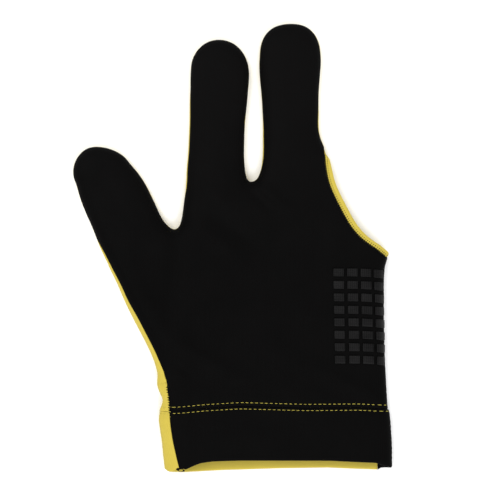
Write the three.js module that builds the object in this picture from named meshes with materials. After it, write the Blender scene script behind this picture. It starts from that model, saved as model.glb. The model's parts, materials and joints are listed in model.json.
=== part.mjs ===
import * as THREE from "three";

// A three-finger billiard glove that lies flat, palm side up, in millimetres. +X points to the
// little-finger side, +Y to the fingertips and +Z up. The glove is drawn in its plan, with y at 0 on
// the lowest point of the open cuff and x at 0 near the middle of the palm. Its sheets of cloth are
// laid out flat first, and then rolled over the sides of the hand.

// Palm and cuff
const PALM_WIDTH = 111;
const PALM_LENGTH = 87.5; // from the cuff's seam to the root of the index finger
const CUFF_WIDTH = 112;
const CUFF_HEIGHT = 31.5;
const HEM_STEP = 5.8; // how far the palm side's hem stops short of the back's

// Finger stalls
const THUMB_LENGTH = 72.6;
const THUMB_WIDTH = 32;
const THUMB_LEAN = 21.2; // degrees, away from the palm
const INDEX_LENGTH = 92.7;
const INDEX_WIDTH = 28;
const MIDDLE_LENGTH = 76.9;
const MIDDLE_WIDTH = 29;
const FINGER_GAP = 8.7; // between the index and the middle finger at their roots
const KNUCKLE_STEP = 23.5; // from the root of the index finger up to that of the middle finger
const THUMB_WEB_DEPTH = 5.5;
const FINGER_WEB_DEPTH = 3.1;

// Cloth
const CLOTH = 1.0;
const CUFF_PROUD = 0.8; // how far the doubled cuff stands out from the single cloth
const SEAM_GAP = 0.3;
const STRIP_WIDTH = 6.0; // the back's cloth seen on the palm side, beside the thumb
const SIDE_WRAP = 6.4; // the palm's cloth folded round to the back, on the other side

// Thickness of the glove as it lies
const HAND_THICKNESS = 11;
const EDGE_ROUND = 6.5;
const CROWN_REACH = 16; // distance from a side at which the palm side is at its full height
const CROWN_SHARE = 0.16;

// Binding of the opening for the other two fingers
const BINDING_WIDTH = 3.3; // the part that shows beyond the palm's cloth
const BINDING_TUCK = 3.0; // the part under the palm's cloth
const BINDING_CLOTH = 0.9;
const BINDING_CLEARANCE = 0.45;

// Rubber grip tiles on the heel of the palm
const TILE_COLUMNS = 4;
const TILE_ROWS = 8;
const TILE_WIDTH = 5.15;
const TILE_LENGTH = 4.0;
const TILE_THICKNESS = 0.8;
const TILE_PITCH_ACROSS = 6.7;
const TILE_PITCH_ALONG = 6.08;
const TILE_SIDE_MARGIN = 1.2; // from the side of the palm to the outer column
const TILE_DRIFT = 0.1; // each row's step towards the side
const TILE_TOP_MARGIN = 5.0; // from the corner of the opening down to the first row
const TILE_BEVEL = 0.35;

// Mesh steps
const OUTLINE_STEP = 4.4;
const MOST_TURN = 0.45; // radians between two points of an outline
const BINDING_STATIONS = 22;
const LATTICE_STEP = 6.0;
const FINE_STEP = 1.5;
const RING_SHARES = [-1, -2 / 3, -1 / 3, 0, 1 / 3, 2 / 3, 1]; // of EDGE_ROUND, over a rolled side

// Sides of the cuff and the palm. along is the share of the height, out the share of the width from
// the middle line, and strip the share of STRIP_WIDTH that the back's cloth covers.
const CUFF_LEFT = [
  { along: 0.0, out: -0.476, strip: 1.27 },
  { along: 0.24, out: -0.484, strip: 1.13 },
  { along: 0.48, out: -0.491, strip: 0.99 },
  { along: 0.73, out: -0.501, strip: 0.98 },
  { along: 0.86, out: -0.504, strip: 0.97 },
  { along: 0.97, out: -0.5, strip: 0.88 },
];
const CUFF_RIGHT = [
  { along: 0.97, out: 0.492 },
  { along: 0.86, out: 0.496 },
  { along: 0.48, out: 0.503 },
  { along: 0.0, out: 0.505 },
];
const PALM_LEFT = [
  { along: 0.05, out: -0.501, strip: 0.6 },
  { along: 0.09, out: -0.511, strip: 0.76 },
  { along: 0.13, out: -0.521, strip: 0.84 },
  { along: 0.19, out: -0.52, strip: 0.65 },
  { along: 0.26, out: -0.534, strip: 0.54 },
  { along: 0.35, out: -0.565, strip: 0.5 },
  { along: 0.48, out: -0.618, strip: 0.5 },
  { along: 0.61, out: -0.668, strip: 0.37 },
];
const PALM_RIGHT = [
  { along: 0.79, out: 0.484 },
  { along: 0.75, out: 0.481 },
  { along: 0.57, out: 0.478 },
  { along: 0.35, out: 0.481 },
  { along: 0.17, out: 0.488 },
  { along: 0.05, out: 0.493 },
];
const PALM_CORNER = { along: 0.839, out: 0.49 }; // where the opening meets the side of the palm

// Sides of the stalls. along is the share of the length, and left and right are shares of the width
// from the stall's axis. The last row is where the round tip starts.
const THUMB_SIDES = [
  { along: 0.0, left: 0.377, strip: 0.35 },
  { along: 0.14, left: 0.394, strip: 0.26 },
  { along: 0.275, left: 0.417, strip: 0.18 },
  { along: 0.385, left: 0.427, right: 0.613, strip: 0.02 },
  { along: 0.5, left: 0.428, right: 0.6 },
  { along: 0.61, left: 0.434, right: 0.581 },
  { along: 0.71, left: 0.439, right: 0.534 },
  { along: 0.796, left: 0.422, right: 0.467 },
];
const INDEX_SIDES = [
  { along: 0.056, left: 0.616 },
  { along: 0.167, left: 0.57 },
  { along: 0.278, left: 0.539, right: 0.509 },
  { along: 0.389, left: 0.52, right: 0.461 },
  { along: 0.556, left: 0.5, right: 0.475 },
  { along: 0.722, left: 0.493, right: 0.514 },
  { along: 0.833, left: 0.488, right: 0.529 },
];
const MIDDLE_SIDES = [
  { along: 0.056, left: 0.555 },
  { along: 0.111, left: 0.521 },
  { along: 0.214, left: 0.494, right: 0.533 },
  { along: 0.278, left: 0.49, right: 0.464 },
  { along: 0.333, left: 0.488, right: 0.44 },
  { along: 0.5, left: 0.497, right: 0.452 },
  { along: 0.667, left: 0.524, right: 0.486 },
  { along: 0.778, left: 0.529, right: 0.5 },
];

// Webs between two stalls. across is the share of the way over, and drop the share of the depth.
const THUMB_WEB = [
  { across: 0.22, drop: 0.52 },
  { across: 0.45, drop: 0.88 },
  { across: 0.68, drop: 1.0 },
  { across: 0.86, drop: 0.74 },
];
const FINGER_WEB = [
  { across: 0.2, drop: 0.65 },
  { across: 0.47, drop: 1.0 },
  { across: 0.75, drop: 0.7 },
];

// Edge of the opening, from the middle finger to the side of the palm. along is the share of the
// straight way, and dip the share of its length by which the edge lies inside it.
const OPENING = [
  { along: 0.09, dip: 0.033 },
  { along: 0.26, dip: 0.087 },
  { along: 0.46, dip: 0.112 },
  { along: 0.66, dip: 0.107 },
  { along: 0.78, dip: 0.083 },
  { along: 0.89, dip: 0.034 },
];

// The binding's reach beyond the palm's cloth, as a share of BINDING_WIDTH.
const BINDING_REACH = [
  { at: 0.0, share: 0.1 },
  { at: 0.1, share: 0.45 },
  { at: 0.25, share: 0.85 },
  { at: 0.5, share: 0.95 },
  { at: 0.8, share: 0.9 },
  { at: 1.0, share: 1.0 },
];

// Lines across the cuff. at is the share of its width from the thumb side, and share a rise: of
// HEM_STEP for the two hems, and of CUFF_HEIGHT for the seam with the palm.
const PALM_HEM = [
  { at: 0.0, share: 0.05 },
  { at: 0.07, share: 0.5 },
  { at: 0.14, share: 0.76 },
  { at: 0.2, share: 0.95 },
  { at: 0.35, share: 1.0 },
  { at: 0.52, share: 1.0 },
  { at: 0.7, share: 0.9 },
  { at: 0.93, share: 0.74 },
  { at: 1.0, share: 0.42 },
];
const BACK_HEM = [
  { at: 0.0, share: 0.05 },
  { at: 0.08, share: 0.0 },
  { at: 0.25, share: 0.17 },
  { at: 0.5, share: 0.34 },
  { at: 0.72, share: 0.41 },
  { at: 0.88, share: 0.33 },
  { at: 1.0, share: 0.42 },
];
const CUFF_SEAM = [
  { at: 0.0, share: 0.955 },
  { at: 0.07, share: 0.965 },
  { at: 0.17, share: 1.0 },
  { at: 0.33, share: 1.033 },
  { at: 0.62, share: 1.005 },
  { at: 0.86, share: 1.012 },
  { at: 1.0, share: 0.985 },
];

// Thickness along the whole glove, as a share of HAND_THICKNESS.
const FULLNESS = [
  { at: 0.0, share: 0.82 },
  { at: 0.14, share: 0.82 },
  { at: 0.35, share: 1.0 },
  { at: 0.55, share: 0.92 },
  { at: 0.68, share: 0.82 },
  { at: 0.9, share: 0.77 },
  { at: 1.0, share: 0.74 },
];

// Soft folds on the palm side: ridges where rise is above 0 and dents where it is below. Ends are
// shares of PALM_WIDTH from the middle line and of PALM_LENGTH from the cuff's seam, and rise and
// spread are shares of HAND_THICKNESS.
const FOLDS = [
  { x1: -0.118, y1: 1.234, x2: -0.013, y2: 1.117, rise: -0.07, spread: 0.28 },
  { x1: -0.083, y1: 1.246, x2: 0.04, y2: 1.128, rise: 0.05, spread: 0.28 },
  { x1: -0.291, y1: 1.223, x2: -0.19, y2: 1.117, rise: 0.08, spread: 0.5 },
  { x1: -0.234, y1: 1.055, x2: -0.06, y2: 0.882, rise: -0.06, spread: 0.36 },
  { x1: -0.379, y1: 1.055, x2: -0.159, y2: 0.838, rise: 0.07, spread: 0.38 },
  { x1: -0.423, y1: 0.968, x2: -0.476, y2: 0.469, rise: -0.08, spread: 0.4 },
  { x1: -0.7, y1: 0.81, x2: -0.49, y2: 0.39, rise: 0.06, spread: 0.5 },
  { x1: -0.49, y1: 0.39, x2: -0.21, y2: 0.21, rise: 0.07, spread: 0.4 },
  { x1: -0.45, y1: 0.255, x2: -0.35, y2: 0.185, rise: -0.07, spread: 0.3 },
  { x1: 0.19, y1: 0.205, x2: 0.44, y2: 0.065, rise: 0.06, spread: 0.36 },
];

const palmTop = CUFF_HEIGHT + PALM_LENGTH;
const totalLength = palmTop + KNUCKLE_STEP + MIDDLE_LENGTH;

const THUMB = {
  root: new THREE.Vector2(-0.576 * PALM_WIDTH, CUFF_HEIGHT + 0.687 * PALM_LENGTH),
  lean: THUMB_LEAN,
  length: THUMB_LENGTH,
  width: THUMB_WIDTH,
  sides: THUMB_SIDES,
  squareness: 1.8,
  apexShift: -0.07,
};
const INDEX = {
  root: new THREE.Vector2(-0.258 * PALM_WIDTH, palmTop),
  lean: -0.7,
  length: INDEX_LENGTH,
  width: INDEX_WIDTH,
  sides: INDEX_SIDES,
  squareness: 2.05,
  apexShift: -0.02,
};
const MIDDLE = {
  root: new THREE.Vector2(
    INDEX.root.x + (INDEX_WIDTH + MIDDLE_WIDTH) / 2 + FINGER_GAP,
    palmTop + KNUCKLE_STEP,
  ),
  lean: 1.1,
  length: MIDDLE_LENGTH,
  width: MIDDLE_WIDTH,
  sides: MIDDLE_SIDES,
  squareness: 2.45,
  apexShift: 0.01,
};

function lookUp(table, at) {
  const next = table.findIndex((row) => row.at >= at);
  if (next === 0) return table[0].share;
  if (next < 0) return table[table.length - 1].share;
  const [before, after] = [table[next - 1], table[next]];
  return THREE.MathUtils.mapLinear(at, before.at, after.at, before.share, after.share);
}

// Plan of the outline

function cuffSidePoint(row) {
  return new THREE.Vector2(row.out * CUFF_WIDTH, row.along * CUFF_HEIGHT);
}

function palmSidePoint(row) {
  return new THREE.Vector2(row.out * PALM_WIDTH, CUFF_HEIGHT + row.along * PALM_LENGTH);
}

function stallPoint(stall, along, across) {
  const local = new THREE.Vector2(across * stall.width, along * stall.length);
  return local.rotateAround(new THREE.Vector2(), THREE.MathUtils.degToRad(stall.lean)).add(stall.root);
}

function stallSide(stall, side) {
  const sign = side === "left" ? -1 : 1;
  return stall.sides
    .filter((row) => row[side] !== undefined)
    .map((row) => stallPoint(stall, row.along, sign * row[side]));
}

// The round tip, a superellipse from the left side's last point to the right side's.
function stallTip(stall, steps = 9) {
  const start = stall.sides[stall.sides.length - 1];
  const half = (start.left + start.right) / 2;
  const middle = (start.right - start.left) / 2;
  const power = 2 / stall.squareness;
  const points = [];
  for (let step = 1; step < steps; step += 1) {
    const turn = (Math.PI * step) / steps;
    const height = Math.sin(turn) ** power;
    const spread = -Math.sign(Math.cos(turn)) * Math.abs(Math.cos(turn)) ** power;
    const along = start.along + (1 - start.along) * height;
    points.push(stallPoint(stall, along, middle + half * spread + stall.apexShift * height));
  }
  return points;
}

function webPoints(from, to, depth, rows) {
  return rows.map((row) => {
    const point = from.clone().lerp(to, row.across);
    return point.setY(point.y - row.drop * depth);
  });
}

function smoothLine(points, step) {
  const curve = new THREE.CatmullRomCurve3(
    points.map((point) => new THREE.Vector3(point.x, point.y, 0)),
    false,
    "centripetal",
  );
  const spans = Math.round(curve.getLength() / step);
  return curve.getSpacedPoints(spans).map((point) => new THREE.Vector2(point.x, point.y));
}

// The same curve with its points at OUTLINE_STEP, and closer where it turns hard.
function outlineLine(points) {
  const fine = smoothLine(points, OUTLINE_STEP / 5);
  const kept = [fine[0]];
  let heading = fine[1].clone().sub(fine[0]).angle();
  let run = 0;
  for (let index = 1; index + 1 < fine.length; index += 1) {
    const ahead = fine[index + 1].clone().sub(fine[index]).angle();
    const turned = Math.abs(Math.atan2(Math.sin(ahead - heading), Math.cos(ahead - heading)));
    run += fine[index].distanceTo(fine[index - 1]);
    const room = fine[fine.length - 1].distanceTo(fine[index]) > OUTLINE_STEP / 2;
    if (room && (run > 0.95 * OUTLINE_STEP || turned > MOST_TURN)) {
      kept.push(fine[index]);
      heading = ahead;
      run = 0;
    }
  }
  return [...kept, fine[fine.length - 1]];
}

function stallOutline() {
  const thumbRight = stallSide(THUMB, "right").reverse();
  const indexLeft = stallSide(INDEX, "left");
  const indexRight = stallSide(INDEX, "right").reverse();
  const middleLeft = stallSide(MIDDLE, "left");
  return [
    ...stallSide(THUMB, "left"),
    ...stallTip(THUMB),
    ...thumbRight,
    ...webPoints(thumbRight[thumbRight.length - 1], indexLeft[0], THUMB_WEB_DEPTH, THUMB_WEB),
    ...indexLeft,
    ...stallTip(INDEX),
    ...indexRight,
    ...webPoints(indexRight[indexRight.length - 1], middleLeft[0], FINGER_WEB_DEPTH, FINGER_WEB),
    ...middleLeft,
    ...stallTip(MIDDLE),
    ...stallSide(MIDDLE, "right").reverse(),
  ];
}

const palmCorner = palmSidePoint(PALM_CORNER);
const leftControl = [
  ...CUFF_LEFT.map(cuffSidePoint),
  ...PALM_LEFT.map(palmSidePoint),
  ...stallOutline(),
];
const rightControl = [
  palmCorner,
  ...PALM_RIGHT.map(palmSidePoint),
  ...CUFF_RIGHT.map(cuffSidePoint),
];
const openingTop = leftControl[leftControl.length - 1];

// The seam of the black and the yellow cloth on the palm side, drawn inside the outline.
function stripSeam() {
  const rows = [...CUFF_LEFT, ...PALM_LEFT, ...THUMB_SIDES.filter((row) => row.strip)];
  return rows.map((row, index) => {
    const here = leftControl[index];
    const ahead = leftControl[index + 1].clone().sub(leftControl[Math.max(index - 1, 0)]).normalize();
    return here.clone().add(new THREE.Vector2(ahead.y, -ahead.x).multiplyScalar(row.strip * STRIP_WIDTH));
  });
}

function openingLine(step) {
  const way = palmCorner.clone().sub(openingTop);
  const inside = new THREE.Vector2(way.y, -way.x);
  const middle = OPENING.map((row) =>
    openingTop.clone().addScaledVector(way, row.along).addScaledVector(inside, row.dip),
  );
  return smoothLine([openingTop, ...middle, palmCorner], step);
}

// Sides that the cloth rolls over. Each runs with the hand on its right.

function extended(line, start, end) {
  const first = line[0].clone().sub(line[1]).setLength(start || 1).add(line[0]);
  const last = line[line.length - 1];
  const beyond = last.clone().sub(line[line.length - 2]).setLength(end || 1).add(last);
  return [...(start ? [first] : []), ...line, ...(end ? [beyond] : [])];
}

const SIDE_EXTENSION = 3 * EDGE_ROUND;
const leftSide = extended(smoothLine(leftControl, FINE_STEP), SIDE_EXTENSION, 0);
const rightSide = extended(smoothLine(rightControl, FINE_STEP), SIDE_EXTENSION, SIDE_EXTENSION);

function rightHandNormals(line) {
  return line.map((point, index) => {
    const along = line[Math.min(index + 1, line.length - 1)].clone().sub(line[Math.max(index - 1, 0)]);
    return new THREE.Vector2(along.y, -along.x).normalize();
  });
}

const sides = [leftSide, rightSide].map((line) => ({ line, normals: rightHandNormals(line) }));

// The nearest point of a side, with the inward direction and the distance, below 0 outside.
function nearestSide(point) {
  let best = { square: Infinity };
  for (const side of sides) {
    for (let index = 0; index + 1 < side.line.length; index += 1) {
      const [start, end] = [side.line[index], side.line[index + 1]];
      const [spanX, spanY] = [end.x - start.x, end.y - start.y];
      const raw = ((point.x - start.x) * spanX + (point.y - start.y) * spanY) / (spanX ** 2 + spanY ** 2);
      const share = Math.min(Math.max(raw, 0), 1);
      const square =
        (point.x - start.x - share * spanX) ** 2 + (point.y - start.y - share * spanY) ** 2;
      if (square < best.square) best = { square, side, index, share, raw };
    }
  }
  const { side, index, share } = best;
  const foot = side.line[index].clone().lerp(side.line[index + 1], share);
  const normal = side.normals[index].clone().lerp(side.normals[index + 1], share).normalize();
  const offset = point.clone().sub(foot);
  const pastEnd = best.raw > 1 && index + 2 === side.line.length;
  const sign = pastEnd || offset.dot(normal) >= 0 ? 1 : -1;
  const distance = sign * offset.length();
  const inward = Math.abs(distance) > 1e-6 ? offset.divideScalar(distance) : normal;
  return { foot, inward, distance };
}

// Rolling: a flat sheet's distance from the side becomes an angle over the side's round.

function flatFromPlan(distance) {
  if (distance >= EDGE_ROUND) return distance;
  return (EDGE_ROUND * 2 * Math.acos(1 - Math.max(distance, 0) / EDGE_ROUND)) / Math.PI;
}

function halfHeight(y) {
  return (HAND_THICKNESS * (1 - CROWN_SHARE) * lookUp(FULLNESS, y / totalLength)) / 2;
}

function liftAt(y) {
  const blend = THREE.MathUtils.smoothstep(CUFF_HEIGHT * 1.4 - y, 0, CUFF_HEIGHT * 0.35);
  return CUFF_PROUD * blend;
}

function foldRise(plan) {
  let rise = 0;
  for (const fold of FOLDS) {
    const start = palmSidePoint({ along: fold.y1, out: fold.x1 });
    const way = palmSidePoint({ along: fold.y2, out: fold.x2 }).sub(start);
    const offset = plan.clone().sub(start);
    const share = THREE.MathUtils.clamp(offset.dot(way) / way.lengthSq(), 0, 1);
    const off = offset.addScaledVector(way, -share).length() / (fold.spread * HAND_THICKNESS);
    rise += fold.rise * HAND_THICKNESS * Math.exp(-(off ** 2));
  }
  return rise;
}

// The place in space of a point of a flat sheet. layer is 1 for the palm side and -1 for the back, and
// depth is how far inside the cloth's outer face the point lies.
function roll(point, layer, depth) {
  const near = nearestSide(point);
  const flat = Math.abs(near.distance);
  const turn = (Math.min(flat / EDGE_ROUND, 1) * Math.PI) / 2;
  const inset = flat < EDGE_ROUND ? depth + (EDGE_ROUND - depth) * (1 - Math.cos(turn)) : flat;
  const plan = near.foot.clone().addScaledVector(near.inward, inset);
  const face = near.distance >= 0 ? layer : -layer;
  const half = halfHeight(plan.y);
  const crown = THREE.MathUtils.smoothstep(flat, 0, CROWN_REACH) * CROWN_SHARE * 2 * half;
  const soft = face > 0 ? Math.sin(turn) ** 2 * (crown + foldRise(plan)) : 0;
  const z = liftAt(plan.y) + half + face * (half - depth) * Math.sin(turn) + soft;
  return new THREE.Vector3(plan.x, plan.y, z);
}

// Where a point of the plan lies on a flat sheet, on the sheet's own layer or folded round to the other.
function flatten(point, folded = false, shift = 0) {
  const near = nearestSide(point);
  const flat = flatFromPlan(near.distance);
  return near.foot.clone().addScaledVector(near.inward, (folded ? -flat : flat) + shift);
}

// Outlines of the flat sheets

const leftEdgeX = leftControl[0].x;
const rightEdgeX = rightControl[rightControl.length - 1].x;

function acrossCuff(table, x, height) {
  return lookUp(table, (x - leftEdgeX) / (rightEdgeX - leftEdgeX)) * height;
}

// How far a point of a flat sheet lies above the cuff's seam, once the sheet is rolled.
function overSeam(layer, shift) {
  return (point) => {
    const place = roll(point, layer, 0);
    return place.y - acrossCuff(CUFF_SEAM, place.x, CUFF_HEIGHT) - shift;
  };
}

// The same for the hem, which is the other layer's where the sheet is folded round.
function overHem(layer) {
  return (point) => {
    const place = roll(point, layer, 0);
    const folded = nearestSide(point).distance < 0;
    return place.y - acrossCuff(folded === layer > 0 ? BACK_HEM : PALM_HEM, place.x, HEM_STEP);
  };
}

function crossingOf(line, over) {
  const next = line.findIndex((point) => over(point) > 0);
  const [before, after] = [line[next - 1], line[next]];
  const share = over(before) / (over(before) - over(after));
  const crossing = before.clone().lerp(after, share);
  const isApart = (point) => point.distanceTo(crossing) > OUTLINE_STEP / 3;
  return { crossing, lower: line.slice(0, next).filter(isApart), upper: line.slice(next).filter(isApart) };
}

// Points between two corners along a line across the sheet, without the corners.
function levelLine(from, to, over) {
  const count = Math.round(Math.abs(to.x - from.x) / OUTLINE_STEP);
  const points = [];
  for (let index = 1; index < count; index += 1) {
    const point = from.clone().lerp(to, index / count);
    for (let pass = 0; pass < 3; pass += 1) point.y -= over(point);
    points.push(point);
  }
  return points;
}

const seamPlan = outlineLine(stripSeam());
const outlinePlan = outlineLine(stallOutline());
const seamEnd = seamPlan[seamPlan.length - 1];
const stallPlan = outlinePlan.slice(
  outlinePlan.findIndex((point) => point.y > seamEnd.y + OUTLINE_STEP / 2),
);
const rightPlan = outlineLine(rightControl).reverse();
const openingPlan = openingLine(OUTLINE_STEP);
const wrapFlat = flatFromPlan(SIDE_WRAP);

function insetLine(line, inset) {
  return line.map((point) => {
    const near = nearestSide(point);
    return near.foot.clone().addScaledVector(near.inward, inset);
  });
}

// The two long edges of a sheet: on the thumb side, and on the little finger's side up to the opening.
function sheetEdges(layer) {
  const half = SEAM_GAP / 2;
  const onPalm = layer > 0;
  const strip = seamPlan.map((point) => flatten(point, !onPalm, half));
  const left = [...extendDown(strip), ...insetLine(stallPlan, half)];
  const right = extendDown(insetLine(rightPlan, onPalm ? -wrapFlat + half : wrapFlat + half));
  return { left, right };
}

function extendDown(line) {
  return [line[0].clone().setY(line[0].y - HEM_STEP), ...line];
}

// The sheet's edge along the opening, from the middle finger to its edge on the other side.
function openingEdge(layer, last) {
  const distances = openingPlan.map((point) => nearestSide(point).distance);
  const nearCorner = (index) => index > openingPlan.length / 2;
  if (layer < 0) {
    const kept = openingPlan.filter(
      (point, index) => !nearCorner(index) || distances[index] > SIDE_WRAP + OUTLINE_STEP / 3,
    );
    return kept.slice(1).map((point) => flatten(point));
  }
  const folded = openingPlan.filter(
    (point, index) => nearCorner(index) && distances[index] < SIDE_WRAP - OUTLINE_STEP / 3,
  );
  const front = openingPlan.slice(1).map((point) => flatten(point));
  return [...front, ...folded.slice(0, -1).reverse().map((point) => flatten(point, true))].filter(
    (point) => point.distanceTo(last) > OUTLINE_STEP / 3,
  );
}

function sheetCorner(layer) {
  const target = openingPlan.findIndex(
    (point, index) => index > openingPlan.length / 2 && nearestSide(point).distance < SIDE_WRAP,
  );
  const [before, after] = [openingPlan[target - 1], openingPlan[target]];
  const [far, close] = [nearestSide(before).distance, nearestSide(after).distance];
  const point = before.clone().lerp(after, (far - SIDE_WRAP) / (far - close));
  return flatten(point, layer > 0, SEAM_GAP / 2);
}

function palmOutline(layer) {
  const { left, right } = sheetEdges(layer);
  const corner = sheetCorner(layer);
  const over = overSeam(layer, SEAM_GAP / 2);
  const [leftCut, rightCut] = [left, right].map((line) => crossingOf(line, over));
  const rightUp = rightCut.upper.filter((point) => point.y < corner.y - OUTLINE_STEP / 3);
  return [
    leftCut.crossing,
    ...leftCut.upper,
    ...openingEdge(layer, corner),
    corner,
    ...rightUp.reverse(),
    rightCut.crossing,
    ...levelLine(rightCut.crossing, leftCut.crossing, over),
  ];
}

function cuffOutline(layer) {
  const { left, right } = sheetEdges(layer);
  const over = overSeam(layer, -SEAM_GAP / 2);
  const [leftTop, rightTop] = [left, right].map((line) => crossingOf(line, over));
  const [leftHem, rightHem] = [leftTop, rightTop].map((cut) => crossingOf(cut.lower, overHem(layer)));
  return [
    leftHem.crossing,
    ...leftHem.upper,
    leftTop.crossing,
    ...levelLine(leftTop.crossing, rightTop.crossing, over),
    rightTop.crossing,
    ...rightHem.upper.reverse(),
    rightHem.crossing,
    ...levelLine(rightHem.crossing, leftHem.crossing, overHem(layer)),
  ];
}

// Meshing of a flat outline

function isInside(polygon, point) {
  let inside = false;
  polygon.forEach((end, index) => {
    const start = polygon[(index + polygon.length - 1) % polygon.length];
    if (start.y > point.y === end.y > point.y) return;
    const crossing = start.x + ((end.x - start.x) * (point.y - start.y)) / (end.y - start.y);
    if (point.x < crossing) inside = !inside;
  });
  return inside;
}

function distanceToPolygon(polygon, point) {
  let least = Infinity;
  polygon.forEach((end, index) => {
    const start = polygon[(index + polygon.length - 1) % polygon.length];
    const span = end.clone().sub(start);
    const offset = point.clone().sub(start);
    const share = THREE.MathUtils.clamp(offset.dot(span) / span.lengthSq(), 0, 1);
    least = Math.min(least, offset.addScaledVector(span, -share).length());
  });
  return least;
}

// Points inside an outline: rings over the rolled sides first, then a triangular lattice.
function innerPoints(polygon) {
  const kept = [];
  const tryPoint = (point, room) => {
    if (!isInside(polygon, point) || distanceToPolygon(polygon, point) < 0.45 * OUTLINE_STEP) return;
    if (kept.every((other) => other.distanceToSquared(point) > room ** 2)) kept.push(point);
  };
  for (const share of RING_SHARES) {
    const inset = share * EDGE_ROUND;
    for (const { line, normals } of sides) {
      for (let index = 0; index < line.length; index += 3) {
        const point = line[index].clone().addScaledVector(normals[index], inset);
        const near = nearestSide(point);
        if (Math.abs(near.distance - inset) < 0.05) tryPoint(point, 0.45 * OUTLINE_STEP);
      }
    }
  }
  const box = new THREE.Box2().setFromPoints(polygon);
  const rowStep = (LATTICE_STEP * Math.sqrt(3)) / 2;
  for (let row = 0; box.min.y + row * rowStep < box.max.y; row += 1) {
    const start = box.min.x + (row % 2) * (LATTICE_STEP / 2);
    for (let x = start; x < box.max.x; x += LATTICE_STEP) {
      tryPoint(new THREE.Vector2(x, box.min.y + row * rowStep), 0.7 * LATTICE_STEP);
    }
  }
  return kept;
}

function circled(points, corners) {
  const [a, b, c] = corners.map((corner) => points[corner]);
  const cross = 2 * ((b.x - a.x) * (c.y - a.y) - (b.y - a.y) * (c.x - a.x));
  const squareB = (b.x - a.x) ** 2 + (b.y - a.y) ** 2;
  const squareC = (c.x - a.x) ** 2 + (c.y - a.y) ** 2;
  const x = ((c.y - a.y) * squareB - (b.y - a.y) * squareC) / cross;
  const y = ((b.x - a.x) * squareC - (c.x - a.x) * squareB) / cross;
  return { corners, x: a.x + x, y: a.y + y, square: x ** 2 + y ** 2 };
}

// Delaunay triangles of a set of points, counterclockwise, by Bowyer and Watson's way.
function delaunay(points) {
  const far = 1e4;
  const all = [
    ...points,
    new THREE.Vector2(-far, -far),
    new THREE.Vector2(far, -far),
    new THREE.Vector2(0, far),
  ];
  const first = points.length;
  let triangles = [circled(all, [first, first + 1, first + 2])];
  points.forEach((point, index) => {
    const rim = new Map();
    triangles = triangles.filter((triangle) => {
      const square = (point.x - triangle.x) ** 2 + (point.y - triangle.y) ** 2;
      if (square >= triangle.square) return true;
      triangle.corners.forEach((corner, side) => {
        const next = triangle.corners[(side + 1) % 3];
        if (!rim.delete(`${next} ${corner}`)) rim.set(`${corner} ${next}`, [corner, next]);
      });
      return false;
    });
    for (const [start, end] of rim.values()) triangles.push(circled(all, [start, end, index]));
  });
  return triangles.map((triangle) => triangle.corners).filter((corners) => Math.max(...corners) < first);
}

function flatMesh(polygon) {
  const points = [...polygon, ...innerPoints(polygon)];
  const faces = delaunay(points).filter(([a, b, c]) => {
    const middle = points[a].clone().add(points[b]).add(points[c]).divideScalar(3);
    return isInside(polygon, middle);
  });
  return { points, faces };
}

// A closed solid from two copies of a flat mesh, outer and inner, joined round the rim.
function thickened(faces, outer, inner, layer) {
  const count = outer.length;
  const used = new Map();
  const index = [];
  const add = (a, b, c) => index.push(...(layer > 0 ? [a, b, c] : [a, c, b]));
  for (const face of faces) {
    add(...face);
    add(face[0] + count, face[2] + count, face[1] + count);
    face.forEach((corner, side) => {
      const next = face[(side + 1) % 3];
      if (!used.delete(`${next} ${corner}`)) used.set(`${corner} ${next}`, [corner, next]);
    });
  }
  for (const [start, end] of used.values()) {
    add(start, start + count, end);
    add(end, start + count, end + count);
  }
  const geometry = new THREE.BufferGeometry().setFromPoints([...outer, ...inner]);
  geometry.setIndex(index);
  geometry.computeVertexNormals();
  return geometry;
}

function clothSheet(polygon, layer, outerDepth, innerDepth) {
  const { points, faces } = flatMesh(polygon);
  const outer = points.map((point) => roll(point, layer, outerDepth));
  const inner = points.map((point) => roll(point, layer, innerDepth));
  return thickened(faces, outer, inner, layer);
}

// The height of a layer's cloth over a point of the plan.
function heightOver(plan, layer, depth) {
  return roll(flattenAt(plan, depth), layer, depth).z;
}

// Like flatten, for a face that lies inside the outer one by depth.
function flattenAt(plan, depth) {
  const near = nearestSide(plan);
  const round = EDGE_ROUND - depth;
  const inset = near.distance - depth;
  if (inset >= round) return plan;
  const flat = (EDGE_ROUND * 2 * Math.acos(1 - Math.max(inset, 0) / round)) / Math.PI;
  return near.foot.clone().addScaledVector(near.inward, flat);
}

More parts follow.
